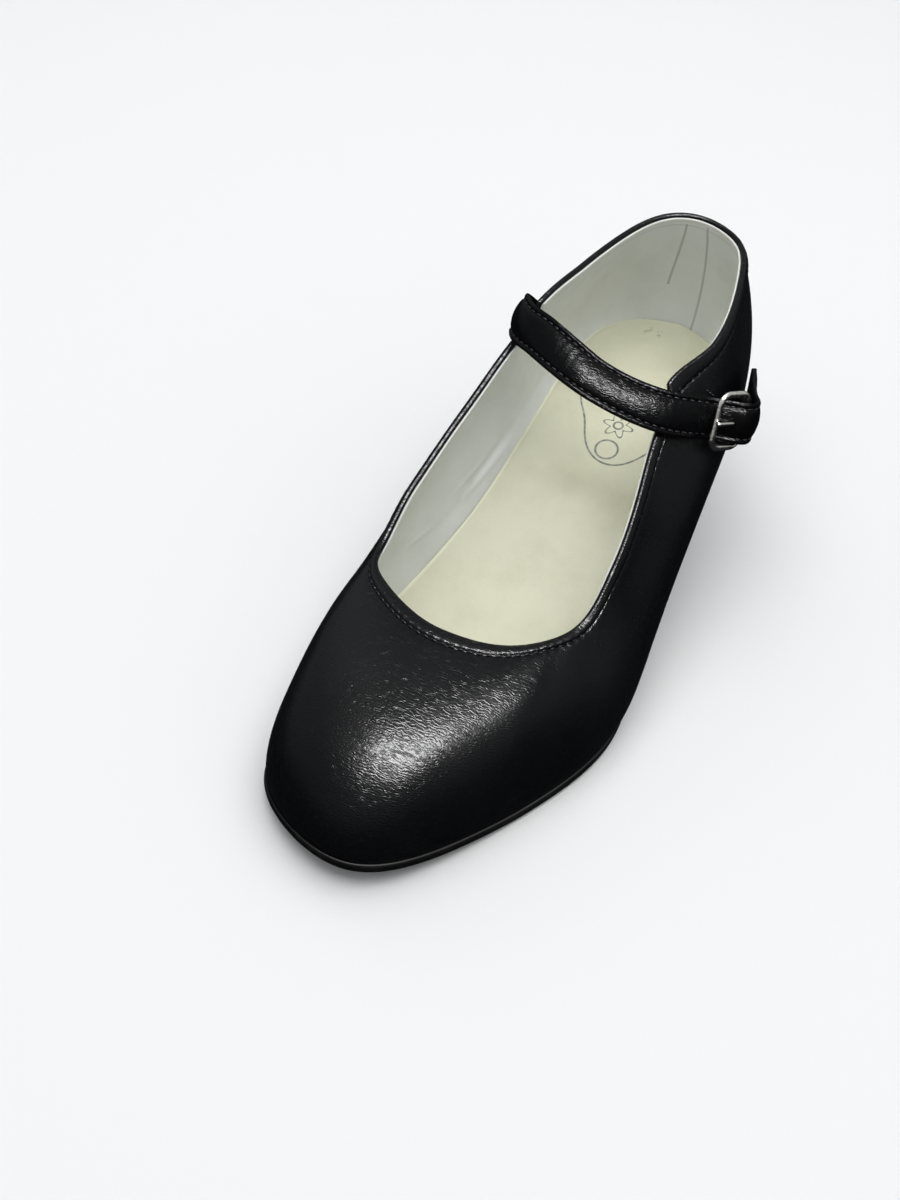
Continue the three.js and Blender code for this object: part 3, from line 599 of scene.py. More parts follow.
def coated_leather(name, colour, roughness, spacing, depth, specular, scratches=()):
    """PU-coated synthetic leather. The grain's height is a sine of 2 pi (y + z) / spacing, bent by one noise
    and weakened in places by another, plus a finer noise. Scratches are straight lines."""
    material, tree, surface, place = new_material(name)
    run = add_node(tree, "add", add_node(tree, "y", place), add_node(tree, "z", place))
    turns = add_node(tree, "multiply", run, 2 * math.pi / spacing)
    broad = add_node(tree, "vector_multiply", place, (0.75, 1.0, 1.0))
    bends = add_node(tree, "noise", broad, 1 / (spacing * 2.4), 2.0, 0.6)
    bend = add_node(tree, "multiply", bends, GRAIN_BEND)
    ridges = add_node(tree, "sine", add_node(tree, "add", turns, bend))
    breaks = add_node(tree, "noise", broad, 1 / (spacing * 1.4), 1.0)
    broken = add_node(tree, "grade", breaks, 0.35, 0.6, 0.15, 0.5)
    ridges = add_node(tree, "multiply", ridges, broken)
    fine = add_node(tree, "noise", broad, 1 / (spacing * 0.55), 1.0)
    grain = add_node(tree, "bump", add_node(tree, "add", ridges, fine), depth)
    handled = add_node(tree, "noise", place, 1 / 0.03, 4.0, 0.6)
    dulled = add_node(tree, "grade", handled, 0.35, 0.7, 0.0, 1.0)
    base = add_node(tree, "mix", dulled, linear(colour), linear(BASE_HANDLED))
    if scratches:
        away = away_from_lines(tree, place, scratches)
        scored = add_node(tree, "grade", away, 0.00005, 0.00022, 0.35, 0.0)
        base = add_node(tree, "mix", scored, base, linear("#6b6f72"))
    dull = add_node(tree, "grade", handled, 0.3, 0.7, roughness - 0.03, roughness + 0.04)
    feed(tree, surface, {"Base Color": base, "Roughness": dull, "Normal": grain})
    feed(tree, surface, {"IOR": 1.5, "Specular IOR Level": specular})
    return material


TOE_SCRATCHES = [
    ((28.6, -69.7, 26.3), (27.5, -74.9, 23.5)),
    ((26.9, -77.1, 22.5), (25.8, -80.5, 20.7)),
]
UPPER_LEATHER = coated_leather("black_coated_leather", "#07080a", 0.28, 0.001, 0.000045, 0.13, TOE_SCRATCHES)
STRAP_LEATHER = coated_leather("black_strap_leather", "#070708", 0.24, 0.0009, 0.00004, 0.06)
FOLDED_LEATHER = coated_leather("black_folded_leather", "#070708", 0.28, 0.0008, 0.00005, 0.08)


# %% [markdown]
# ### Lining, insole sheet, thread, rubber, heel cover and nickel
# The lining is a thin pale PU film over cloth, a grey-green off-white. The insole's cover sheet is the same
# kind of film in ivory, embossed with a fine cross grain. The sole and the top piece are moulded rubber:
# matt, nearly black, with fine pits. The block heel is moulded plastic with a satin black lacquer. The
# thread is black polyester, coloured dark grey: partly its own colour, partly a painted glint that lets the
# stitches show on the leather. The buckle is bent steel wire plated with nickel, which is a little warmer
# and softer than chrome.

# %% Pale lining and ivory insole
MATT_SPECULAR = 0.08


def pale_film(name, colour, soiled, roughness, grain, depth, stretch):
    """Thin coated lining sheet: a flat colour with faint soiling and a fine embossed grain. Returns the
    material, its nodes, its surface, the place and the socket of its colour."""
    material, tree, surface, place = new_material(name)
    pulled = add_node(tree, "vector_multiply", place, stretch)
    embossed = add_node(tree, "bump", add_node(tree, "noise", pulled, 1 / grain, 3.0, 0.6), depth)
    soil = add_node(tree, "grade", add_node(tree, "noise", place, 1 / 0.02, 5.0, 0.65), 0.42, 0.75, 0.0, 1.0)
    dull = add_node(tree, "grade", soil, 0.0, 1.0, roughness, roughness + 0.1)
    feed(tree, surface, {"Normal": embossed, "Roughness": dull, "Specular IOR Level": MATT_SPECULAR})
    return material, tree, surface, place, add_node(tree, "mix", soil, linear(colour), linear(soiled))


def seam_pieces(start, end, pieces=6):
    """Short straight lines that follow the lining between two places (u, v) of the last."""
    places = np.array(start) + (np.array(end) - start) * np.linspace(0, 1, pieces + 1)[:, None]
    points = upper_point(places[:, 0], places[:, 1]) - upper_out(places[:, 0], places[:, 1]) * UPPER_WALL
    return list(zip(points[:-1], points[1:]))


HEEL_SEAMS = seam_pieces((0.976, 0.95), (0.978, 0.36)) + seam_pieces((1.006, 0.97), (1.012, 0.06))
LINING_FILM, tree, surface, place, tone = pale_film(
    "pale_lining_film", "#e2e4e1", "#d8dbd6", 0.45, 0.0006, 0.00004, (1.0, 1.0, 1.0)
)
below = add_node(tree, "point_value", attribute_name="below_edge")
tone = add_node(tree, "mix", add_node(tree, "grade", below, 1.0, 1.5, 1.0, 0.0), tone, linear("#dededa"))
from_sewing = add_node(tree, "absolute", add_node(tree, "subtract", below, 2.6))
sewn_line = add_node(tree, "grade", from_sewing, 0.0, 0.35, 0.35, 0.0)
tone = add_node(tree, "mix", sewn_line, tone, linear("#8f9186"))
seamed = add_node(tree, "grade", away_from_lines(tree, place, HEEL_SEAMS), 0.0002, 0.0005, 0.55, 0.0)
tone = add_node(tree, "mix", seamed, tone, linear("#8d8f8a"))
feed(tree, surface, {"Base Color": tone})

# %% [markdown]
# ### The stamp
# The maker prints a mark in thin blue-grey lines on the heel of the insole. Here the place is kept and
# filled with a plain shield outline, a ring and a rosette of six petals, and it says nothing.

# %% Ivory insole with its plain stamp
SHIELD = [
    (5.4, 41.2),
    (2.2, 41.6),
    (-0.2, 43.3),
    (-6.9, 51.4),
    (-12.8, 61.9),
    (-14.5, 69.0),
    (-9.0, 75.5),
    (2.0, 77.5),
    (13.0, 75.5),
    (18.2, 68.0),
    (18.2, 59.5),
    (15.0, 50.5),
    (10.3, 45.2),
]
RING_CENTRE = (2.7, 46.6)
RING_RADIUS = 3.4
ROSETTE_CENTRE = (2.2, 56.3)
ROSETTE_RADIUS = 3.6
PETALS = 6
PETAL_DEPTH = 1.1
HEART_RADIUS = 1.4

INSOLE_FILM, tree, surface, place, tone = pale_film(
    "ivory_insole_film", "#dbdac2", "#d0cfb6", 0.48, 0.0007, 0.00006, (0.45, 2.4, 1.0)
)
flat = add_node(tree, "vector_multiply", place, (1.0, 1.0, 0.0))


def centred(centre):
    """Level place measured from a centre on the insole."""
    return add_node(tree, "vector_subtract", flat, marked_place((*centre, 0.0)))


def angle_of(vector):
    """Angle of a vector socket in the level plane."""
    return add_node(tree, "arctan2", add_node(tree, "y", vector), add_node(tree, "x", vector))


def away_from_round(vector, radius):
    """Distance from a line round a centre to the tip of a vector from there. The radius may change with the
    angle."""
    return add_node(tree, "absolute", add_node(tree, "subtract", add_node(tree, "length", vector), radius))


# The outline's radius round its middle is a short sum of waves that passes through the placed points
SHIELD_CENTRE = (2.2, 60.0)
SHIELD_WAVES = 5
from_centre = np.array(SHIELD) - SHIELD_CENTRE
angles = np.arctan2(from_centre[:, 1], from_centre[:, 0])
columns = [np.ones(len(angles))]
for wave in range(1, SHIELD_WAVES + 1):
    columns += [np.cos(wave * angles), np.sin(wave * angles)]
weights = np.linalg.lstsq(np.stack(columns, 1), np.hypot(*from_centre.T), rcond=None)[0] * MM
from_shield = centred(SHIELD_CENTRE)
shield_turn = angle_of(from_shield)
shield_radius = float(weights[0])
for wave in range(1, SHIELD_WAVES + 1):
    size = float(np.hypot(*weights[2 * wave - 1 : 2 * wave + 1]))
    phase = -float(np.arctan2(weights[2 * wave], weights[2 * wave - 1]))
    turned = add_node(tree, "multiply_add", shield_turn, float(wave), phase)
    swing = add_node(tree, "multiply", add_node(tree, "cosine", turned), size)
    shield_radius = add_node(tree, "add", shield_radius, swing)
from_middle = centred(ROSETTE_CENTRE)
turn = add_node(tree, "multiply", angle_of(from_middle), float(PETALS))
petal = add_node(tree, "multiply", add_node(tree, "cosine", turn), PETAL_DEPTH * MM)
stamped = [
    away_from_round(from_shield, shield_radius),
    away_from_round(centred(RING_CENTRE), RING_RADIUS * MM),
    away_from_round(from_middle, add_node(tree, "add", petal, ROSETTE_RADIUS * MM)),
    away_from_round(from_middle, HEART_RADIUS * MM),
]
away = smallest(tree, stamped)
ink = add_node(tree, "grade", away, 0.0002, 0.00042, 0.9, 0.0)
rubbed = add_node(tree, "grade", add_node(tree, "noise", place, 1 / 0.0015, 3.0, 0.6), 0.3, 0.6, 0.55, 1.0)
tone = add_node(tree, "mix", add_node(tree, "multiply", ink, rubbed), tone, linear("#55625f"))
# Two small smudges near the back edge
SMUDGES = [((-6.5, 105.0, 0.0), (-8.0, 101.5, 0.0)), ((-3.5, 104.5, 0.0), (-3.0, 102.0, 0.0))]
smudged = add_node(tree, "grade", away_from_lines(tree, flat, SMUDGES), 0.0001, 0.0012, 0.7, 0.0)
patchy = add_node(tree, "grade", add_node(tree, "noise", place, 1 / 0.0012, 3.0, 0.7), 0.45, 0.62, 0.0, 1.0)
smudged = add_node(tree, "multiply", smudged, patchy)
tone = add_node(tree, "mix", smudged, tone, linear("#8f8468"))
# Painted highlight: the sheet is lighter within about 1.5 mm of the insole's edge, where the rolled edge
# catches the light.
from_rim = add_node(tree, "point_value", attribute_name="from_edge")
painted_rim_highlight = add_node(tree, "grade", from_rim, 0.8, 1.5, 0.8, 0.0)
tone = add_node(tree, "mix", painted_rim_highlight, tone, linear("#eeedd0"))
feed(tree, surface, {"Base Color": tone})


# %% Moulded rubber, lacquered heel, thread and nickel
def moulded(name, colour, roughness, grain, depth, dust="#1c1b1a", coat=0.0):
    """Moulded or lacquered dark material with fine pits."""
    material, tree, surface, place = new_material(name)
    pits = add_node(tree, "bump", add_node(tree, "noise", place, 1 / grain, 4.0, 0.7), depth)
    worn = add_node(tree, "noise", place, 1 / 0.012, 4.0, 0.6)
    dusty = add_node(tree, "grade", worn, 0.45, 0.75, 0.0, 1.0)
    base = add_node(tree, "mix", dusty, linear(colour), linear(dust))
    dull = add_node(tree, "grade", worn, 0.3, 0.7, roughness - 0.06, roughness + 0.08)
    feed(tree, surface, {"Base Color": base, "Roughness": dull, "Normal": pits})
    feed(tree, surface, {"Coat Weight": coat, "Coat Roughness": 0.25, "Specular IOR Level": MATT_SPECULAR})
    return material


SOLE_RUBBER = moulded("black_sole_rubber", "#0c0c0d", 0.5, 0.0004, 0.00005)
LIFT_RUBBER = moulded("black_lift_rubber", "#181716", 0.7, 0.0005, 0.00007)
HEEL_LACQUER = moulded("black_heel_lacquer", "#0d0d0e", 0.38, 0.0008, 0.00002, coat=0.25)
# Painted glint: the thread's dark grey is lighter than black, partly its own colour and partly standing in
# for the glints of the stitches.
THREAD_PARTLY_PAINTED_GLINT = moulded("black_polyester_thread", "#2e2e33", 0.3, 0.0003, 0.00003, "#3a3a40")


def plated_wire(name):
    """Bent steel wire with a nickel plate: metallic, a little warm, with drawing marks and small dents."""
    material, tree, surface, place = new_material(name)
    marks = add_node(tree, "noise", place, 1 / 0.0012, 4.0, 0.6)
    drawn = add_node(tree, "bump", marks, 0.00012)
    bright = add_node(tree, "grade", marks, 0.35, 0.65, 0.0, 1.0)
    base = add_node(tree, "mix", bright, linear("#cfccc5"), linear("#e6e3dd"))
    dull = add_node(tree, "grade", marks, 0.3, 0.7, 0.08, 0.22)
    feed(tree, surface, {"Metallic": 1.0, "Base Color": base, "Roughness": dull, "Normal": drawn})
    return material


NICKEL = plated_wire("nickel_plated_wire")

# %% [markdown]
# ## The upper
# The outer sheet is 1.2 mm thick. Its edge is folded in at the topline, and a row of stitches about 3 mm
# below holds the fold, so the edge stands up as a soft roll and the stitches pull a groove. The same
# function gives the roll all round, from how far a point lies below the topline. Lasting and flexing leave
# a few soft troughs, which are listed in a table: each runs between two places on the last and fades at its
# ends.

# %% Relief of the upper's outer face
SHEET_WALL = 1.2
BINDING_WIDTH = 3.2
BINDING_STEP = 0.45
STITCH_PITCH = 2.6

TROUGH_COLUMNS = ("from_u", "from_v", "to_u", "to_v", "width", "depth")
UPPER_TROUGHS = [
    (0.372, 0.93, 0.392, 0.62, 2.4, 0.22),  # puckers where the throat turns, outer side
    (0.398, 0.93, 0.416, 0.68, 2.0, 0.18),
    (0.345, 0.92, 0.350, 0.66, 2.6, 0.16),
    (0.600, 0.93, 0.586, 0.66, 2.4, 0.2),  # the same, inner side
    (0.628, 0.92, 0.622, 0.70, 2.6, 0.16),
    (0.318, 0.80, 0.300, 0.42, 5.5, 0.16),  # flex at the ball, outer side
    (0.280, 0.86, 0.268, 0.48, 7.0, 0.12),
    (0.690, 0.82, 0.708, 0.45, 6.0, 0.16),  # flex at the ball, inner side
    (0.196, 0.90, 0.176, 0.56, 6.5, 0.2),  # hollow under the strap's corner
    (0.846, 0.88, 0.862, 0.58, 6.0, 0.2),
]


def troughs(points, rows):
    """Depth of soft troughs: each falls off as a bell with the distance from its line, and fades at its
    ends."""
    depth = np.zeros(points.shape[:-1])
    for row in rows:
        trough = dict(zip(TROUGH_COLUMNS, row))
        start = upper_point(trough["from_u"], trough["from_v"])
        line = upper_point(trough["to_u"], trough["to_v"]) - start
        share = np.clip((points - start) @ line / (line @ line), 0, 1)
        away = np.linalg.norm(points - start - share[..., None] * line, axis=-1)
        fade = 0.35 + 0.65 * np.sin(np.pi * share)
        depth += trough["depth"] * fade * bump_curve(away, 0, trough["width"])
    return depth


def unevenness(points):
    """Slow unevenness of a hand-lasted sheet: a sum of three waves 14 to 30 mm long."""
    x, y, z = (points[..., k] for k in range(3))
    waves = np.sin(x / 3.1 + y / 4.7 + 1.3) + np.sin(y / 3.4 - z / 2.6 + 0.4)
    waves = waves + np.sin(x / 4.2 - y / 2.9 + z / 3.7)
    return 0.012 * waves


def topline_relief(down, run, pull):
    """Height of the outer face over the last: the folded edge is a soft roll, the stitch row a groove, and
    each stitch pinches the roll and puckers the sheet below it. Down is the distance below the topline, run
    the distance along it, and pull how strongly the throat's curve gathers the sheet."""
    edge = BINDING_STEP * (1 - ease(BINDING_WIDTH - 0.3, BINDING_WIDTH + 0.3, down))
    roll = 0.3 * np.sin(np.pi * np.clip(down / BINDING_WIDTH, 0, 1))
    groove = -0.32 * bump_curve(down, BINDING_WIDTH + 0.1, 0.4)
    wave = np.cos(2 * np.pi * run / STITCH_PITCH)
    pinch = 0.05 * wave * bump_curve(down, BINDING_WIDTH - 0.9, 0.8)
    pucker = (0.05 + 0.08 * pull) * (wave - 1) * bump_curve(down, BINDING_WIDTH + 0.9, 0.75)
    return edge + roll + groove + pinch + pucker


# %% Build the upper's outer sheet
ROUND_STEPS = 760
FAR_DOWNS = (9, 7.6, 6.6, 5.8, 5.1, 4.6, 4.2, 3.95, 3.75, 3.6, 3.45, 3.3, 3.15)
NEAR_DOWNS = (3.0, 2.85, 2.65, 2.4, 2, 1.6, 1.2, 0.8, 0.4, 0)
EDGE_DOWNS = np.array(FAR_DOWNS + NEAR_DOWNS)

u = np.arange(ROUND_STEPS) / ROUND_STEPS
coarse = upper_point(u[:, None], np.linspace(0, 1, 13)[None, :])
rib_length = np.linalg.norm(np.diff(coarse, axis=1), axis=-1).sum(1)
topline = upper_point(u, 1.0)
steps = np.linalg.norm(np.roll(topline, -1, 0) - topline, axis=1)
topline_run = np.concatenate([[0], np.cumsum(steps)[:-1]])
pitch_count = round(steps.sum() / STITCH_PITCH)
topline_phase = topline_run / steps.sum() * pitch_count * STITCH_PITCH
throat_pull = 1 - ease(0.05, 0.12, rib("top_along", u) - 0.285)


def below_topline(down):
    """Share up each rib of places that lie down millimetres below the topline."""
    return 1 - down / rib_length[:, None]


def outer_face(v, down):
    """Outer face of the sheet at shares v of each rib."""
    base = upper_point(u[:, None], v)
    height = topline_relief(down, topline_phase[:, None], throat_pull[:, None])
    height = height - troughs(base, UPPER_TROUGHS) + unevenness(base) * ease(0, 0.1, v)
    return base + upper_out(u[:, None], v) * height[..., None]


low_v = below_topline(EDGE_DOWNS[:1]) * np.linspace(0, 1, 32)[None, :-1]
low_face = outer_face(low_v, (1 - low_v) * rib_length[:, None])
edge_face = outer_face(below_topline(EDGE_DOWNS[None, :]), EDGE_DOWNS[None, :])
edge_out, edge_up = upper_out(u, 1.0)[:, None], upper_up(u, 1.0)[:, None]
bend = np.linspace(0, np.pi, 9)[None, 1:-1, None]
bend_radius = (BINDING_STEP + SHEET_WALL) / 2
roll = (
    topline[:, None]
    + edge_out * ((BINDING_STEP - SHEET_WALL) / 2 + bend_radius * np.cos(bend))
    + edge_up * 0.7 * np.sin(bend)
)
inner_v = np.linspace(1, 0, 14)[None, :]
inner_face = upper_point(u[:, None], inner_v) - upper_out(u[:, None], inner_v) * SHEET_WALL
upper_grid = np.concatenate([low_face, edge_face, roll, inner_face], axis=1)
add_piece("upper_sheet", grid_mesh("upper_sheet", upper_grid, True), ["upper"])

# %% [markdown]
# ### The lining
# The lining is a sheet of its own inside the outer one. Its upper edge ends just under the fold, so a thin
# pale line shows all round the topline. At the back of the heel two seams join its pieces: they are fine
# grooves.

# %% Build the lining
LINING_WALL = 0.72
LINING_SEAMS = [
    (0.976, 0.95, 0.978, 0.36, 0.9, 0.2),
    (1.006, 0.97, 1.012, 0.06, 0.9, 0.2),
]
LINING_CREASES = [  # loose lining at the inner arch: ridges have a depth below zero
    (0.797, 0.10, 0.757, 0.145, 0.8, -0.55),
    (0.793, 0.15, 0.765, 0.185, 1.3, 0.4),
    (0.776, 0.20, 0.752, 0.26, 0.6, -0.3),
    (0.738, 0.20, 0.716, 0.27, 0.8, -0.25),
]

lining_v = [np.linspace(0, 0.3, 22)[:-1], np.linspace(0.3, 0.9, 17), (0.93, 0.96, 0.98, 0.992)]
lining_v = np.concatenate(lining_v)
lining_top = 1 - 0.25 / rib_length[:, None]
lining_v = np.concatenate([np.broadcast_to(lining_v, (ROUND_STEPS, len(lining_v))), lining_top], 1)
lining_base = upper_point(u[:, None], lining_v)
lining_out = upper_out(u[:, None], lining_v)
cove = 1.2 * ease(0.7, 0.76, u) * (1 - ease(0.88, 0.93, u))
slack = cove[:, None] * (1 - ease(0.0, 0.17, lining_v)) * ease(0.0, 0.05, lining_v)
inside = -UPPER_WALL - troughs(lining_base, LINING_SEAMS) - slack
inside = inside + troughs(lining_base, LINING_CREASES) * ease(0.04, 0.08, lining_v)
lining_inner = lining_base + lining_out * inside[..., None]
outside = -UPPER_WALL + LINING_WALL
lining_outer = (lining_base + lining_out * outside)[:, ::-1]
lining_cap = (
    lining_base[:, -1:]
    + lining_out[:, -1:] * (-UPPER_WALL + LINING_WALL / 2 - LINING_WALL / 2 * np.cos(bend))
    + edge_up * 0.35 * np.sin(bend)
)
lining_grid = np.concatenate([lining_inner, lining_cap, lining_outer], axis=1)
lining_below = (1 - lining_v) * rib_length[:, None]
lining_below = np.concatenate([lining_below, np.zeros((ROUND_STEPS, 7)), lining_below[:, ::-1]], axis=1)
lining_mesh = grid_mesh("upper_lining", lining_grid, True, {"below_edge": lining_below})
add_piece("upper_lining", lining_mesh)

# %% [markdown]
# ### Stitches of the topline
# One row runs all round, in the groove under the fold.

# %% Sew the topline
seam_down = BINDING_WIDTH + 0.1
seam_v = below_topline(np.array([[seam_down]]))[:, 0]
seam_line = outer_face(seam_v[:, None], np.array([[seam_down]]))[:, 0]
topline_row = (seam_line, upper_out(u, seam_v), STITCH_PITCH, True, STITCH_PITCH * 0.78)
sew("topline_stitches", [topline_row])

# %% [markdown]
# ## Sole, heel and insole
# The sole, the insole and the heel are stacks of outlines. Each outline is the foot line moved in or out,
# and rings lead from its edge to the spine of the shoe, where the rings of both sides meet and are welded.
# A ring's height comes from its place along the shoe, so toe spring, arch and heel seat are the same for
# all.

# %% Rings from an edge to the spine
FIT_GAP = 0.3
SOLE_PROFILE = [(0, SOLE_THICKNESS), (0.38, SOLE_THICKNESS), (0.5, 3.3), (0.62, 2.6), (1, 2.6)]
SOLE_EDGE_PROFILE = [(0, 0.5), (0.38, 0.5), (0.5, 0.2), (0.62, 0), (1, 0)]
BED_STEPS = 520
INWARD = np.array((0.015, 0.035, 0.06, 0.1, 0.16, 0.24, 0.34, 0.46, 0.6, 0.76, 0.9, 1.0))
bed_u = np.arange(BED_STEPS) / BED_STEPS


def share_along(points):
    """Place along the shoe, from 0 at the toe to 1 at the heel."""
    return points[..., 1] / SHOE_LENGTH + 0.5


def rings_inwards(edge, shares):
    """Rings between an edge loop and the spine, the middle line between its two sides."""
    opposite = edge[(-np.arange(len(edge))) % len(edge)]
    spine = (edge + opposite) / 2
    return edge[:, None] + (spine - edge)[:, None] * shares[None, :, None]


def at_heights(points, height):
    """The same points with another height."""
    return np.concatenate([points[..., :2], np.broadcast_to(height, points.shape[:-1])[..., None]], -1)


def bed_mesh(name, grid, values=None):
    """Mesh of rings that lead from the spine over the edge and back. It is welded along the spine."""
    faces = [grid_faces(BED_STEPS, grid.shape[1], True, False).tolist()]
    return make_mesh(name, grid.reshape(-1, 3), faces, weld=True, values=values)


# %% [markdown]
# ### Outsole
# A thin moulded sole. Its edge is nearly flush with the upper, half a millimetre proud round the forefoot,
# and rounds off towards the floor. Underneath, the forefoot has a panel of shallow cross ribs for grip.

# %% Build the outsole
GROOVE_PITCH = 4
GROOVE_DEPTH = 0.35


def sole_bottom(points):
    """Height of the sole's plain underside, and how deep in a groove of the tread a point lies, from 0
    to 1."""
    along = share_along(points)
    plain = foot_height(along) - profile(SOLE_PROFILE, along)
    groove = 0.5 - 0.5 * np.cos(2 * np.pi * points[..., 1] / GROOVE_PITCH)
    return plain, groove**3


edge_out_by = profile(SOLE_EDGE_PROFILE, rib("foot_along", bed_u))
EDGE_SHAPE = [  # out from the edge in mm, share of the way up
    (-0.75, 1.0),
    (-0.35, 0.97),
    (-0.12, 0.9),
    (-0.02, 0.78),
    (0.0, 0.65),
    (-0.04, 0.5),
    (-0.14, 0.34),
    (-0.32, 0.2),
    (-0.58, 0.08),
    (-0.9, 0.02),
    (-1.25, 0.0),
]
sole_rows = []
top_edge = beside_foot_line(bed_u, edge_out_by - 1.0)
top_rings = rings_inwards(top_edge, np.concatenate([[0.0], INWARD]))
sole_rows.append(at_heights(top_rings, foot_height(share_along(top_rings)) - FIT_GAP)[:, ::-1])
for out_by, up in EDGE_SHAPE:
    ring = beside_foot_line(bed_u, edge_out_by + out_by)
    low = sole_bottom(ring)[0]
    high = foot_height(share_along(ring)) - FIT_GAP
    sole_rows.append(at_heights(ring, low + (high - low) * up)[:, None])
bottom_edge = beside_foot_line(bed_u, edge_out_by - 1.7)
TREAD_STEPS = np.linspace(0, 1, 40)
bottom_rings = rings_inwards(bottom_edge, TREAD_STEPS)
plain, groove = sole_bottom(bottom_rings)
along = share_along(bottom_rings)
panel = ease(0.05, 0.07, along) * (1 - ease(0.4, 0.42, along)) * ease(0.12, 0.16, TREAD_STEPS)[None, :]
sole_rows.append(at_heights(bottom_rings, plain + GROOVE_DEPTH * groove * panel))
outsole_mesh = bed_mesh("outsole_moulded", np.concatenate(sole_rows, axis=1))
add_piece("outsole_moulded", outsole_mesh, ["outsole"], sharp=50)

# %% [markdown]
# ### Insole
# The insole board carries thin foam and an ivory sheet, so its surface is slightly crowned and its edge
# rolls down along the lining. Under the heel lies a thicker pad, whose front ends in a soft slope at the
# arch. The edge is found on the lining itself: on each rib, the place that lies as high as the insole's
# edge.

# %% Build the insole
INSOLE_THICKNESS = 2.4
INSOLE_CROWN = 0.5
HEEL_PAD = 1.2
probe_v = np.linspace(0, 0.4, 25)
probe = upper_point(bed_u[:, None], probe_v[None, :])
probe = probe - upper_out(bed_u[:, None], probe_v[None, :]) * UPPER_WALL
climb = probe[..., 2] - foot_height(share_along(probe))
reached = np.argmax(climb >= INSOLE_THICKNESS * 0.8, axis=1).clip(1)
row = np.arange(BED_STEPS)
before, after = climb[row, reached - 1], climb[row, reached]
blend = ((INSOLE_THICKNESS * 0.8 - before) / (after - before)).clip(0, 1)[:, None]
wall = probe[row, reached - 1] * (1 - blend) + probe[row, reached] * blend
insole_edge = wall - foot_out(bed_u) * 0.25
base_edge = beside_foot_line(bed_u, np.full(BED_STEPS, -(UPPER_WALL + INSOLE_EASE)))


def insole_top(points, share):
    """Height of the insole: board and foam, a crown across, and a pad under the heel."""
    along = share_along(points)
    crown = INSOLE_CROWN * (1 - (1 - share) ** 2)
    pad = HEEL_PAD * ease(0.625, 0.66, along) * ease(0.0, 0.1, share)
    return foot_height(along) + INSOLE_THICKNESS - 0.3 + crown + pad


INSOLE_RINGS = np.concatenate([[0.0, 0.006], INWARD])
insole_rings = rings_inwards(insole_edge, INSOLE_RINGS)
roll_down = np.where(INSOLE_RINGS == 0, -0.3, 0.0)
insole_upper = at_heights(insole_rings, insole_top(insole_rings, INSOLE_RINGS[None, :]) + roll_down)
edge_low = at_heights(insole_edge, foot_height(share_along(insole_edge)) + 1.1)[:, None]
base_low = at_heights(base_edge, foot_height(share_along(base_edge)) + 0.15)[:, None]
base_rings = rings_inwards(base_edge, np.concatenate([[0.03], INWARD[3:]]))
insole_base = at_heights(base_rings, foot_height(share_along(base_rings)))
insole_grid = np.concatenate([insole_upper[:, ::-1], edge_low, base_low, insole_base], axis=1)
half_bed = np.linalg.norm(insole_rings[:, -1] - insole_edge, axis=1)[:, None]
from_edge = np.full(insole_grid.shape[:2], 0.0)
from_edge[:, : len(INSOLE_RINGS)] = (half_bed * INSOLE_RINGS[None, :])[:, ::-1]
insole_mesh = bed_mesh("insole_sheet", insole_grid, {"from_edge": from_edge})
add_piece("insole_sheet", insole_mesh, ["insole"], sharp=60)

# %% [markdown]
# ### Heel and top piece
# The block heel follows the seat of the sole round the back, tapers towards the floor and has a hollow
# breast. Each section is the same outline at another size. The top piece is a slab of rubber nailed under
# it.

# %% Build the heel and its top piece
HEEL_LENGTH = 55
TOP_PIECE = 5
HEEL_INSET = 0.8
BREAST_HOLLOW = 3.5
HEEL_SIZE = [(0, 0.86), (0.18, 0.862), (0.42, 0.885), (0.7, 0.935), (0.88, 0.975), (1, 1)]
HEEL_LEAN = [(0, 0.035), (0.18, 0.034), (0.42, 0.026), (0.7, 0.011), (0.88, 0.003), (1, 0)]
breast = 1 - HEEL_LENGTH / SHOE_LENGTH
fine_u = np.linspace(-0.4, 0.4, 4001)
in_heel = fine_u[rib("foot_along", fine_u) > breast]
heel_u = np.linspace(in_heel.max(), in_heel.min(), 90)
round_back = beside_foot_line(heel_u, np.full(90, -HEEL_INSET))
across = np.linspace(0, 1, 26)[1:-1, None]
breast_line = round_back[-1] + (round_back[0] - round_back[-1]) * across
breast_line = breast_line + np.array((0, 1, 0)) * BREAST_HOLLOW * 4 * across * (1 - across)
HEEL_OUTLINE = np.concatenate([round_back, breast_line]) * (1, 1, 0)
HEEL_MIDDLE = np.array((0, SHOE_LENGTH / 2 - HEEL_LENGTH / 2, 0))


def heel_section(height, inset=0.0):
    """Outline of the heel at a share of its height, made smaller by an inset in millimetres."""
    size = profile(HEEL_SIZE, height) - inset / (HEEL_LENGTH / 2)
    section = (HEEL_OUTLINE - HEEL_MIDDLE) * size + HEEL_MIDDLE
    section[:, 1] -= profile(HEEL_LEAN, height) * HEEL_LENGTH
    return section


heel_shares = np.concatenate([[0, 0, 0.01, 0.025], np.linspace(0.06, 0.96, 22), [0.985, 1.0, 1.0]])
heel_insets = np.zeros(len(heel_shares))
heel_insets[:3] = (0.5, 0.15, 0.03)
heel_insets[-1] = 0.3
heel_rows = []
for share, inset in zip(heel_shares, heel_insets):
    section = heel_section(share, inset)
    seat = sole_bottom(section)[0] - FIT_GAP
    heel_rows.append(at_heights(section, TOP_PIECE + FIT_GAP + (seat - TOP_PIECE - FIT_GAP) * share))
add_piece("heel_block", grid_mesh("heel_block", np.array(heel_rows)), ["heel"], sharp=38)

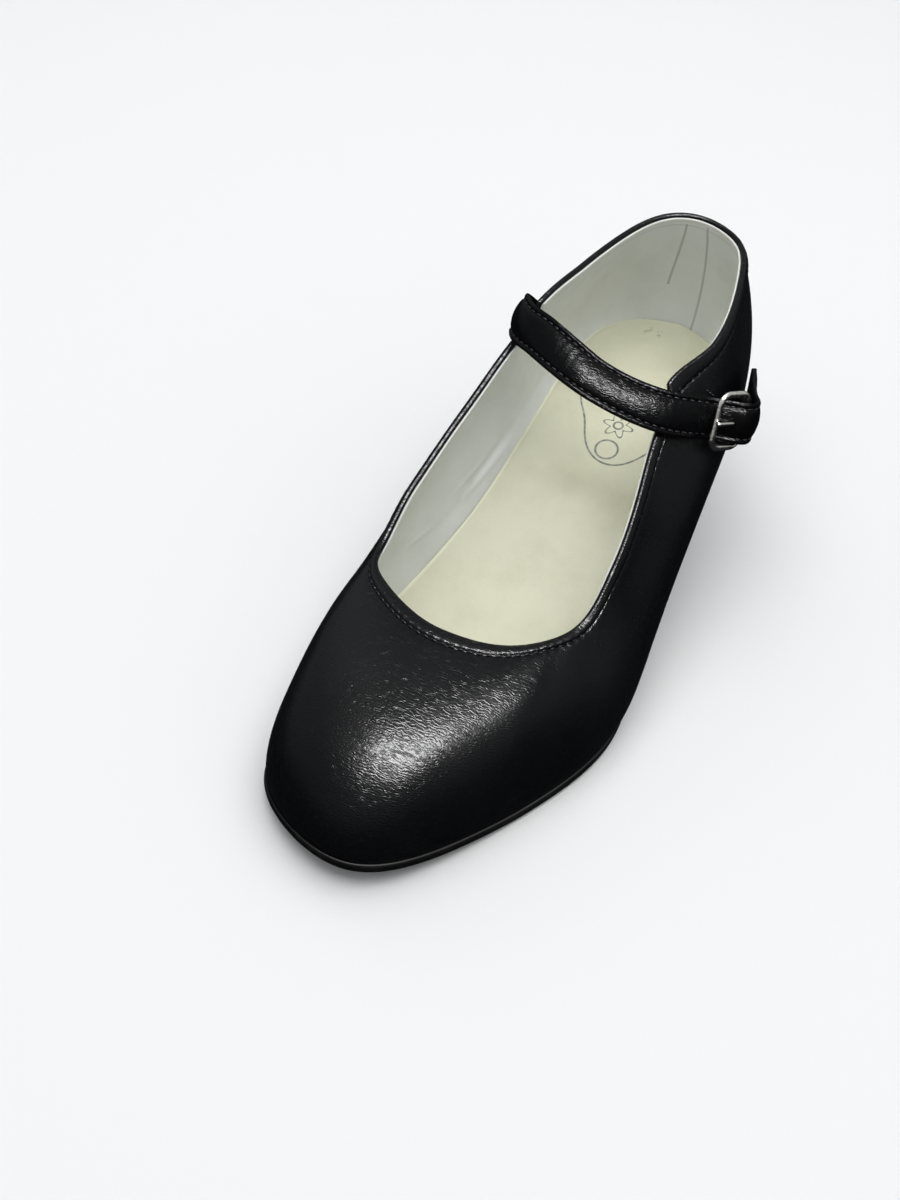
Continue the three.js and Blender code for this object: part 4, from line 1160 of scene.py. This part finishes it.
slab_heights = np.array((0, 0, 0.25, 0.6, 1.6, 2.6, 3.6, 4.5, 5, 5.0))
slab_insets = np.array((0.9, 0.55, 0.2, 0.04, 0, 0, 0, 0.03, 0.15, 0.5))
slab_rows = [at_heights(heel_section(0.0, inset), z) for z, inset in zip(slab_heights, slab_insets)]
slab_mesh = grid_mesh("heel_top_slab", np.array(slab_rows))
add_piece("heel_top_slab", slab_mesh, ["heel_top_piece"], sharp=38)

# %% [markdown]
# ## Ribbons on the last
# The strap and the chape are ribbons. A ribbon follows a smooth path through a few listed rows, and
# each row also says which way the ribbon's width lies. Where it touches the shoe, its place is found on the
# last: the nearest point of the upper, moved off it by half the ribbon's thickness and a small gap.

# %% Find places on the last and smooth paths
def rest_on_upper(point, stand):
    """Nearest place of the upper to a point, found on ever finer grids, and the outward direction there.
    Returns the place moved outwards by stand."""
    centre, span = np.array((0.5, 0.5)), np.array((0.5, 0.5))
    for turn in range(7):
        cells = np.linspace(-1, 1, 61 if turn == 0 else 9)
        near_u = centre[0] + span[0] * cells[:, None]
        near_v = np.clip(centre[1] + span[1] * cells[None, :], 0, 1)
        far = np.linalg.norm(upper_point(near_u, near_v) - point, axis=-1)
        i, j = np.unravel_index(far.argmin(), far.shape)
        centre = np.array((near_u[i, 0], near_v[0, j]))
        span = span * (0.05 if turn == 0 else 0.4)
    out = upper_out(centre[0], centre[1])
    return upper_point(centre[0], centre[1]) + out * stand, out


def smooth_path(rows, t):
    """Centripetal Catmull-Rom curve through rows of numbers, at shares t of its row count. The slopes use
    the square roots of the distances, so the curve has no loops where the rows lie close."""
    rows = np.asarray(rows, float)
    padded = np.concatenate([[2 * rows[0] - rows[1]], rows, [2 * rows[-1] - rows[-2]]])
    place = np.clip(t, 0, 1) * (len(rows) - 1)
    i = np.minimum(np.floor(place).astype(int), len(rows) - 2)
    w = (place - i)[:, None]
    a, b, c, d = (padded[i + k] for k in range(4))
    gaps = [np.sqrt(np.linalg.norm(q - p, axis=1, keepdims=True)) for p, q in ((a, b), (b, c), (c, d))]
    middle = np.where(gaps[1] < 1e-4, 1.0, gaps[1])
    first, last = (np.where(g < 1e-4, middle, g) for g in (gaps[0], gaps[2]))
    start = ((b - a) / first - (c - a) / (first + middle) + (c - b) / middle) * middle
    end = ((c - b) / middle - (d - b) / (middle + last) + (d - c) / last) * middle
    cubic = 2 * b - 2 * c + start + end
    square = -3 * b + 3 * c - 2 * start - end
    return b + start * w + square * w**2 + cubic * w**3


def ribbon_frames(rows, t):
    """Centres, width directions, outward directions and sizes along a ribbon. Rows hold place, lean and
    (width, thickness)."""
    places, leans, sizes = (np.array([row[k] for row in rows]) for k in range(3))
    sizes = np.column_stack([sizes, np.zeros(len(sizes))])
    centres = smooth_path(places, t)
    tangents = unit(smooth_path(places, t + 1e-4) - smooth_path(places, t - 1e-4))
    wide = smooth_path(leans, t)
    wide = unit(wide - dot(wide, tangents) * tangents)
    return centres, wide, np.cross(tangents, wide), smooth_path(sizes, t)


# %% [markdown]
# ## The strap
# The strap is sewn to the inner quarter, crosses the instep, dives under the buckle's outer bar, climbs
# over its hinge bar and ends in a tail that stands off the quarter. It holds a strip of foam: the sheet
# swells between two rows of stitches 1.6 mm from its edges.

# %% Rows of the strap
STRAP_WIDTH = 12.4
STRAP_THICKNESS = 2.6
STRAP_EASE = 0.6
TIP_LENGTH = 6
BUCKLE_DEPTH = 11.4
BUCKLE_WIRE = 1.5
BUCKLE_CORNER = 3
BUCKLE_SIDE_CLEAR = 1.05
PRONG_WIRE = 1.3
PRONG_REACH = 1.3
CHAPE_THICKNESS = 0.9

# across, along, height, the width's direction, and what the row rests on
STRAP_ROUTE = [
    (-0.73, 0.77, 0.845, (0.08, -0.66, -0.75), "wall"),
    (-0.738, 0.723, 0.988, (0.03, -0.6, -0.8), "binding"),
    (-0.712, 0.692, 1.071, (-0.13, -0.52, -0.83), ""),
    (-0.61, 0.664, 1.099, (-0.19, -0.52, -0.83), ""),
    (-0.44, 0.644, 1.117, (-0.27, -0.63, -0.73), ""),
    (-0.226, 0.625, 1.112, (-0.26, -0.77, -0.58), ""),
    (0.024, 0.612, 1.086, (-0.13, -0.88, -0.46), ""),
    (0.286, 0.617, 1.038, (0.04, -0.84, -0.53), ""),
    (0.524, 0.634, 0.99, (0.14, -0.72, -0.68), ""),
    (0.676, 0.659, 0.947, (0.12, -0.57, -0.81), ""),
]
BAR_PLACE = (0.79, 0.6815, 0.916)
quarter_top = float(foot_height(np.array(CORNER_OUTER)) + profile(TOPLINE_PROFILE, np.array(CORNER_OUTER)))


def strap_place(across, along, height):
    """Place from shares of half the ball width, the shoe's length and the quarter's height."""
    return np.array((across * HALF_BALL, (along - 0.5) * SHOE_LENGTH, height * quarter_top))


BUCKLE_DOWN = unit(np.array((0.05, -0.36, -0.93)))
BUCKLE_BACK = np.array((0.49, 0.82, -0.29))
BUCKLE_BACK = unit(BUCKLE_BACK - (BUCKLE_BACK @ BUCKLE_DOWN) * BUCKLE_DOWN)
BUCKLE_OUT = np.cross(BUCKLE_DOWN, BUCKLE_BACK)
STRAP_UNDER = -(BUCKLE_WIRE / 2 + FIT_GAP + STRAP_THICKNESS * 0.68)
STRAP_PRESSED = 0.77
CHAPE_RADIUS = BUCKLE_WIRE / 2 + FIT_GAP + CHAPE_THICKNESS / 2
STRAP_OVER = CHAPE_RADIUS + CHAPE_THICKNESS / 2 + FIT_GAP + STRAP_THICKNESS * STRAP_PRESSED / 2
PRONG_LEVEL = BUCKLE_WIRE / 2 + FIT_GAP + PRONG_WIRE / 2
bar_strap, _ = rest_on_upper(strap_place(*BAR_PLACE), FIT_GAP + STRAP_THICKNESS * 1.2)
BAR_CENTRE = bar_strap - BUCKLE_OUT * STRAP_UNDER


def buckle_place(back, out, down):
    """Place in the buckle's own directions, in millimetres from the middle of its outer bar."""
    parts = [np.asarray(value, float)[..., None] for value in (back, out, down)]
    return BAR_CENTRE + BUCKLE_BACK * parts[0] + BUCKLE_OUT * parts[1] + BUCKLE_DOWN * parts[2]


# back in buckle depths, out and down in strap widths, how the width turns, and the size
TAIL_ROUTE = [
    (0, STRAP_UNDER / STRAP_WIDTH, 0, 0, 0, 1, 1),
    (0.4, 0.034, 0, 0, 0, 1, 1),
    (0.74, STRAP_OVER / STRAP_WIDTH - 0.01, 0, 0, 0, 1, 0.85),
    (1.0, STRAP_OVER / STRAP_WIDTH, 0, 0, 0, 1, STRAP_PRESSED),
    (1.25, 0.147, -0.011, 0.03, -0.02, 1, 0.85),
    (1.5, -0.19, -0.11, 0.13, -0.1, 0.98, 0.95),
    (1.96, -0.7, -0.37, 0.23, -0.13, 0.86, 1),
    (2.46, -1.16, -0.68, 0.29, -0.14, 0.74, 1),
]

strap_rows = []
for across_share, along_share, height_share, lean, rests in STRAP_ROUTE:
    place, lean = strap_place(across_share, along_share, height_share), np.array(lean)
    if rests:
        stand = STRAP_EASE + STRAP_THICKNESS / 2 + (BINDING_STEP if rests == "binding" else 0)
        place, out = rest_on_upper(place, stand)
        lean = unit(lean - (lean @ out) * out)
    strap_rows.append((place, lean, (STRAP_WIDTH, STRAP_THICKNESS)))
for back, out, down, lean_back, lean_out, width, thickness in TAIL_ROUTE:
    place = buckle_place(back * BUCKLE_DEPTH, out * STRAP_WIDTH, down * STRAP_WIDTH)
    lean = BUCKLE_DOWN + BUCKLE_BACK * lean_back + BUCKLE_OUT * lean_out
    strap_rows.append((place, lean, (STRAP_WIDTH * width, STRAP_THICKNESS * thickness)))
print("strap rows:", len(strap_rows))

# %% [markdown]
# ### The strap's padded section
# The outer face is worked out from how far a point lies across the strap: a thin folded edge, the groove of
# the stitches, and the foam's swell between the grooves. Small cross wrinkles break the swell where the
# strap bends, and dimples mark the punched holes. The under face is flat.

# %% Build the strap
STRAP_STEPS = 420
STITCH_INSET = 1.6
strap_t = np.linspace(0, 1, STRAP_STEPS)
strap_centres, strap_wide, strap_out, strap_sizes = ribbon_frames(strap_rows, strap_t)
# The rows lean towards the foot, so half a turn about the run brings the padded face outside
strap_wide, strap_out = -strap_wide, -strap_out
strap_run = np.concatenate([[0], np.cumsum(np.linalg.norm(np.diff(strap_centres, axis=0), axis=1))])
hole_at = buckle_place(BUCKLE_DEPTH * 0.5, 0, 0)
hole_run = strap_run[np.linalg.norm(strap_centres - hole_at, axis=1).argmin()]
HOLE_PITCH = 9.5
HOLE_RUNS = [hole_run + HOLE_PITCH, hole_run + 2 * HOLE_PITCH]
HOLE_RADIUS = 0.85


def across_strap(across, half_width):
    """Outer height of the strap in shares of half its thickness, at a distance across in millimetres: a
    rounded flange, the stitch groove, then a round swell."""
    from_edge = half_width - np.abs(across)
    flange = 0.26 * np.sin(np.pi / 2 * np.clip(from_edge / 0.8, 0, 1))
    rise = np.clip((from_edge - STITCH_INSET) / (half_width - STITCH_INSET), 0, 1)
    swell = 0.74 * (1 - (1 - rise) ** 2.1)
    groove = -0.3 * bump_curve(from_edge, STITCH_INSET, 0.34)
    return flange + swell + groove


def strap_wrinkles(run, across):
    """Fine cross wrinkles of the foam, in millimetres: waves 2.5 to 7 mm long, bent across the strap."""
    bent = run + 0.05 * across**2
    waves = np.sin(bent / 0.41 + np.sin(across * 0.9)) * np.sin(run / 5.3 + 1.0)
    waves = waves + 0.8 * np.sin(bent / 0.9 + 1.7 * np.sin(across * 0.5 + run / 9))
    return 0.022 * waves


def hole_dimples(run, across):
    """Punched holes: steep round dimples with a slightly raised rim."""
    depth = 0
    for hole in HOLE_RUNS:
        away = np.hypot(run - hole, across)
        depth = depth + 1.0 * (1 - ease(HOLE_RADIUS * 0.55, HOLE_RADIUS * 1.1, away))
        depth = depth - 0.05 * bump_curve(away, HOLE_RADIUS * 1.35, 0.3)
    return depth


edge_shares = np.array((1, 0.992, 0.975, 0.95, 0.92, 0.885, 0.85, 0.82, 0.79, 0.765, 0.74, 0.71, 0.67, 0.62))
outer_shares = np.concatenate([-edge_shares, np.linspace(-0.56, 0.56, 29), edge_shares[::-1]])
half_width = strap_sizes[:, :1] / 2
half_thick = strap_sizes[:, 1:2] / 2
tip_left = np.linalg.norm(strap_centres - strap_centres[-1], axis=1) / TIP_LENGTH
narrow = np.sqrt(1 - (1 - np.clip(tip_left, 0.06, 1)) ** 2)[:, None]
across = outer_shares[None, :] * half_width
run = strap_run[:, None]
swell_fade = ease(0, 3, run) * ease(0, 7, strap_run[-1] - run)
FLAT_HEIGHT = 0.55
padded_height = across_strap(across, half_width)
outer_height = (FLAT_HEIGHT + (padded_height - FLAT_HEIGHT) * (0.35 + 0.65 * swell_fade)) * half_thick
fine_relief = strap_wrinkles(run, across) * ease(0.5, 2.5, half_width - np.abs(across))
fine_relief = fine_relief - hole_dimples(run, across)
outer_height = np.minimum(outer_height + fine_relief * (narrow > 0.9), half_thick + 0.12)
under_shares = np.array((1, 0.97, 0.9, 0.6, 0.3, 0, -0.3, -0.6, -0.9, -0.97, -1))
under_heights = np.array((-0.35, -0.8, -1, -1, -1, -1, -1, -1, -1, -0.8, -0.35))
across = np.concatenate([across, under_shares[None, :] * half_width], 1)
height = np.concatenate([outer_height, under_heights[None, :] * half_thick], 1)
strap_grid = (
    strap_centres[:, None]
    + strap_wide[:, None] * (across * narrow)[..., None]
    + strap_out[:, None] * (height * (0.45 + 0.55 * narrow))[..., None]
)


def tube(path, side, radius, closed, sides=20, wide=None):
    """Rings along a path that lies in a plane; side is the plane's normal. The radius may change along the
    path, and wide is the half width in the plane where the wire isn't round."""
    before = np.roll(path, 1, 0) if closed else np.concatenate([path[:1], path[:-1]])
    after = np.roll(path, -1, 0) if closed else np.concatenate([path[1:], path[-1:]])
    cross = unit(np.cross(unit(after - before), side))
    turn = np.linspace(0, 2 * np.pi, sides + 1)[None, :-1, None]
    radius = np.broadcast_to(radius, len(path))[:, None, None]
    wide = radius if wide is None else np.broadcast_to(wide, len(path))[:, None, None]
    return path[:, None] + wide * cross[:, None] * np.cos(turn) + radius * side * np.sin(turn)


def prong_path():
    """Path of the prong: a curl round the hinge bar, then straight to the outer bar and a little past it."""
    curl = np.radians(np.linspace(188 - 360, 90, 40))
    curled = buckle_place(BUCKLE_DEPTH + PRONG_LEVEL * np.cos(curl), PRONG_LEVEL * np.sin(curl), 0 * curl)
    back = np.concatenate([np.linspace(0.94, 0, 16) * BUCKLE_DEPTH, -PRONG_REACH * np.linspace(0.2, 1, 6)])
    return np.concatenate([curled, buckle_place(back, np.full(len(back), PRONG_LEVEL), 0 * back)])


def prong_room(name):
    """Mesh of the slot that the prong passes through."""
    return grid_mesh(name, tube(prong_path(), BUCKLE_DOWN, PRONG_WIRE / 2 + 0.28, False, 16))


strap_mesh = cut(grid_mesh("instep_strap", strap_grid), prong_room("strap_slot"))
strap = add_piece("instep_strap", strap_mesh, ["strap"], sharp=60)

# %% [markdown]
# ### Stitches of the strap
# Two rows run along the edges. At the sewn end a box of stitches holds the strap to the quarter.

# %% Sew the strap
def strap_line(where, share_across):
    """Line on the strap's outer face: where selects sections, and share_across is in half widths."""
    column = np.abs(outer_shares - share_across).argmin()
    return strap_grid[where, column], strap_out[where]


inset_share = 1 - STITCH_INSET / (STRAP_WIDTH / 2)
strap_seams = []
sewn = (strap_run > 2.2) & (tip_left > 0.75)
for side in (-inset_share, inset_share):
    strap_seams.append((*strap_line(sewn, side), STITCH_PITCH, False, STITCH_PITCH * 0.76))
for cross_run in (2.2, 12.0):
    section = np.abs(strap_run - cross_run).argmin()
    inside_columns = np.abs(outer_shares) < inset_share
    line = strap_grid[section, : len(outer_shares)][inside_columns]
    square = np.repeat(strap_out[section][None], len(line), 0)
    strap_seams.append((line, square, STITCH_PITCH, False, STITCH_PITCH * 0.76))
sew("strap_stitches", strap_seams)

# %% [markdown]
# ## The buckle
# The frame is wire bent to a rectangle with round corners, and the prong is a lighter wire curled round the
# hinge bar. Both are tubes: a circle carried along a path, with the buckle's own directions as its frame.
# The chape is a thin leather strip folded round the hinge bar and sewn to the quarter.

# %% Build the buckle, its prong and the chape
half_span = STRAP_WIDTH / 2 + BUCKLE_SIDE_CLEAR + BUCKLE_WIRE / 2
frame_path = []
for back, down, start in (
    (BUCKLE_DEPTH - BUCKLE_CORNER, half_span - BUCKLE_CORNER, 0),
    (BUCKLE_CORNER, half_span - BUCKLE_CORNER, 90),
    (BUCKLE_CORNER, BUCKLE_CORNER - half_span, 180),
    (BUCKLE_DEPTH - BUCKLE_CORNER, BUCKLE_CORNER - half_span, 270),
):
    angle = np.radians(start + np.linspace(0, 90, 13))
    frame_path.append(
        buckle_place(back + BUCKLE_CORNER * np.cos(angle), 0 * angle, down + BUCKLE_CORNER * np.sin(angle))
    )
frame_path = np.concatenate(frame_path)
frame_path = np.concatenate([frame_path, np.roll(frame_path, -1, 0)], 1).reshape(-1, 2, 3)
gap = np.linalg.norm(frame_path[:, 1] - frame_path[:, 0], axis=1)
straight = np.linspace(0, 1, 9)[:-1, None]
frame_path = np.concatenate(
    [
        start + (end - start) * straight if step > 2 else start[None]
        for (start, end), step in zip(frame_path, gap)
    ]
)
frame_back = (frame_path - BAR_CENTRE) @ BUCKLE_BACK
frame_wide = BUCKLE_WIRE / 2 + 0.3 * (1 - ease(7.5, 10.4, frame_back))
frame_grid = tube(frame_path, BUCKLE_OUT, BUCKLE_WIRE / 2, True, wide=frame_wide)
add_piece("buckle_wire", grid_mesh("buckle_wire", frame_grid, True), ["buckle"])

prong_line = prong_path()
prong_radius = np.full(len(prong_line), PRONG_WIRE / 2)
prong_radius[-4:] *= (0.97, 0.88, 0.7, 0.35)
prong_radius[0] *= 0.6
prong_grid = tube(prong_line, BUCKLE_DOWN, prong_radius, False, 16)
add_piece("buckle_tongue", grid_mesh("buckle_tongue", prong_grid), ["buckle_prong"])

CHAPE_WIDTH = STRAP_WIDTH - 2 * STITCH_INSET
chape_size = (CHAPE_WIDTH, CHAPE_THICKNESS)
CHAPE_SEWN = [(0.72, -0.9), (0.42, -0.7)]


def chape_row(back, out, layers):
    """Row of the chape that lies on the quarter, on so many layers of leather."""
    stand = FIT_GAP + CHAPE_THICKNESS / 2 + layers * (CHAPE_THICKNESS + FIT_GAP)
    place, square = rest_on_upper(buckle_place(BUCKLE_DEPTH * (1 + back), STRAP_WIDTH * out, 0.0), stand)
    return place, unit(BUCKLE_DOWN - (BUCKLE_DOWN @ square) * square), chape_size


chape_rows = [chape_row(back, out, 0) for back, out in CHAPE_SEWN]
place = buckle_place(BUCKLE_DEPTH + CHAPE_RADIUS * 1.15, -CHAPE_RADIUS * 2.0, 0)
chape_rows.append((place, BUCKLE_DOWN, chape_size))
for angle in np.radians(-80 - 270 * np.arange(8) / 7):
    place = buckle_place(BUCKLE_DEPTH + CHAPE_RADIUS * np.cos(angle), CHAPE_RADIUS * np.sin(angle), 0)
    chape_rows.append((place, BUCKLE_DOWN, chape_size))
place = buckle_place(BUCKLE_DEPTH + CHAPE_RADIUS * 2.0, -CHAPE_RADIUS * 1.3, 0)
chape_rows.append((place, BUCKLE_DOWN, chape_size))
chape_rows += [chape_row(back, out, 1) for back, out in CHAPE_SEWN[::-1]]
centres, wide, square, sizes = ribbon_frames(chape_rows, np.linspace(0, 1, 150))
strip_turn = np.linspace(0, 2 * np.pi, 25)[None, :-1]
strip_across = np.sign(np.cos(strip_turn)) * np.abs(np.cos(strip_turn)) ** 0.25 * sizes[:, :1] / 2
strip_height = np.sign(np.sin(strip_turn)) * np.abs(np.sin(strip_turn)) ** 0.25 * sizes[:, 1:2] / 2
chape_grid = centres[:, None] + wide[:, None] * strip_across[..., None]
chape_grid = chape_grid + square[:, None] * strip_height[..., None]
chape_mesh = cut(grid_mesh("buckle_chape", chape_grid), prong_room("chape_slot"))
add_piece("buckle_chape", chape_mesh, ["chape"], sharp=60)

# %% [markdown]
# A short tack of stitches on the quarter, above the strap, holds the layers under the buckle.

# %% Tack the quarter
tack_u = np.linspace(0.1941, 0.1896, 12)
tack_v = np.linspace(0.84, 0.77, 12)
tack_row = (upper_point(tack_u, tack_v), upper_out(tack_u, tack_v), 1.3, False, 1.1)
sew("quarter_tack", [tack_row])

# %% Give every piece its finish
FINISHES = {
    "upper_sheet": UPPER_LEATHER,
    "upper_lining": LINING_FILM,
    "topline_stitches": THREAD_PARTLY_PAINTED_GLINT,
    "quarter_tack": THREAD_PARTLY_PAINTED_GLINT,
    "outsole_moulded": SOLE_RUBBER,
    "insole_sheet": INSOLE_FILM,
    "heel_block": HEEL_LACQUER,
    "heel_top_slab": LIFT_RUBBER,
    "instep_strap": STRAP_LEATHER,
    "strap_stitches": THREAD_PARTLY_PAINTED_GLINT,
    "buckle_wire": NICKEL,
    "buckle_tongue": NICKEL,
    "buckle_chape": FOLDED_LEATHER,
}
for name, material in FINISHES.items():
    mesh = bpy.data.objects[name].data
    mesh.materials.clear()
    mesh.materials.append(material)

# %% [markdown]
# ## Floor and light
# The photograph is cut out on white, so its lights are found from the gloss. A long light above the toe
# runs across the shoe and gives the gloss of the toe and the strap. It is seen by gloss alone, and a wide
# soft light by matt surfaces alone, so that each can be set by itself. Two weak lights add the band below
# the throat and the back. The walls are nearly black in the photograph, so the leather doesn't mirror the
# pale floor.

# %% Lay the floor and hang the lights
floor_mesh = bpy.data.meshes.new("floor")
reach = 3.0  # metres
floor_corners = [(-reach, -reach, 0), (reach, -reach, 0), (reach, reach, 0), (-reach, reach, 0)]
floor_mesh.from_pydata(floor_corners, [], [(0, 1, 2, 3)])
floor = add_object("floor", floor_mesh)
floor_material, tree, surface, _ = new_material("pale_floor")
feed(tree, surface, {"Base Color": linear("#ececec"), "Roughness": 0.9, "Specular IOR Level": 0.1})
floor_mesh.materials.append(floor_material)
floor.visible_glossy = False


def add_light(name, place, aim, size, size_y, power):
    """Rectangular area light at a place, turned to aim at a point, in metres and watts."""
    data = bpy.data.lights.new(name, "AREA")
    data.shape = "RECTANGLE"
    data.size, data.size_y, data.energy = size, size_y, power
    light = add_object(name, data)
    back = unit(np.array(place, float) - np.array(aim, float))
    side = unit(np.cross((0, 1, 0.001), back))
    light.matrix_world = turned_to(side, np.cross(back, side), back, place)
    return light


gloss_light = add_light("long_gloss_light", (0.25, -0.19, 1.1), (0, 0, 0.03), 1.1, 0.2, 105)
gloss_light.visible_diffuse = False
soft_light = add_light("soft_top_light", (0, 0.02, 1.2), (0, 0, 0.03), 1.2, 1.2, 10)
soft_light.visible_glossy = False
add_light("front_to_back_light", (0.27, 0.45, 1.1), (0, 0, 0.03), 0.35, 0.8, 1.0)
add_light("dim_back_light", (-0.8, 0.6, 1.0), (0, 0, 0.03), 1.0, 0.7, 1.1)

# The room is grey above and dark below the level of the floor, where only gloss could see it
world = bpy.data.worlds.new("studio")
world.use_nodes = True
room = world.node_tree
height = add_node(room, "z", add_node(room, "direction"))
above_floor = add_node(room, "grade", height, -0.1, 0.1, 0.0, 1.0)
room_colour = add_node(room, "mix", above_floor, linear("#303234"), linear("#f2f4f6"))
feed(room, room.nodes["Background"], {"Color": room_colour, "Strength": 0.55})
bpy.context.scene.world = world
bpy.context.scene.view_settings.view_transform = "Standard"
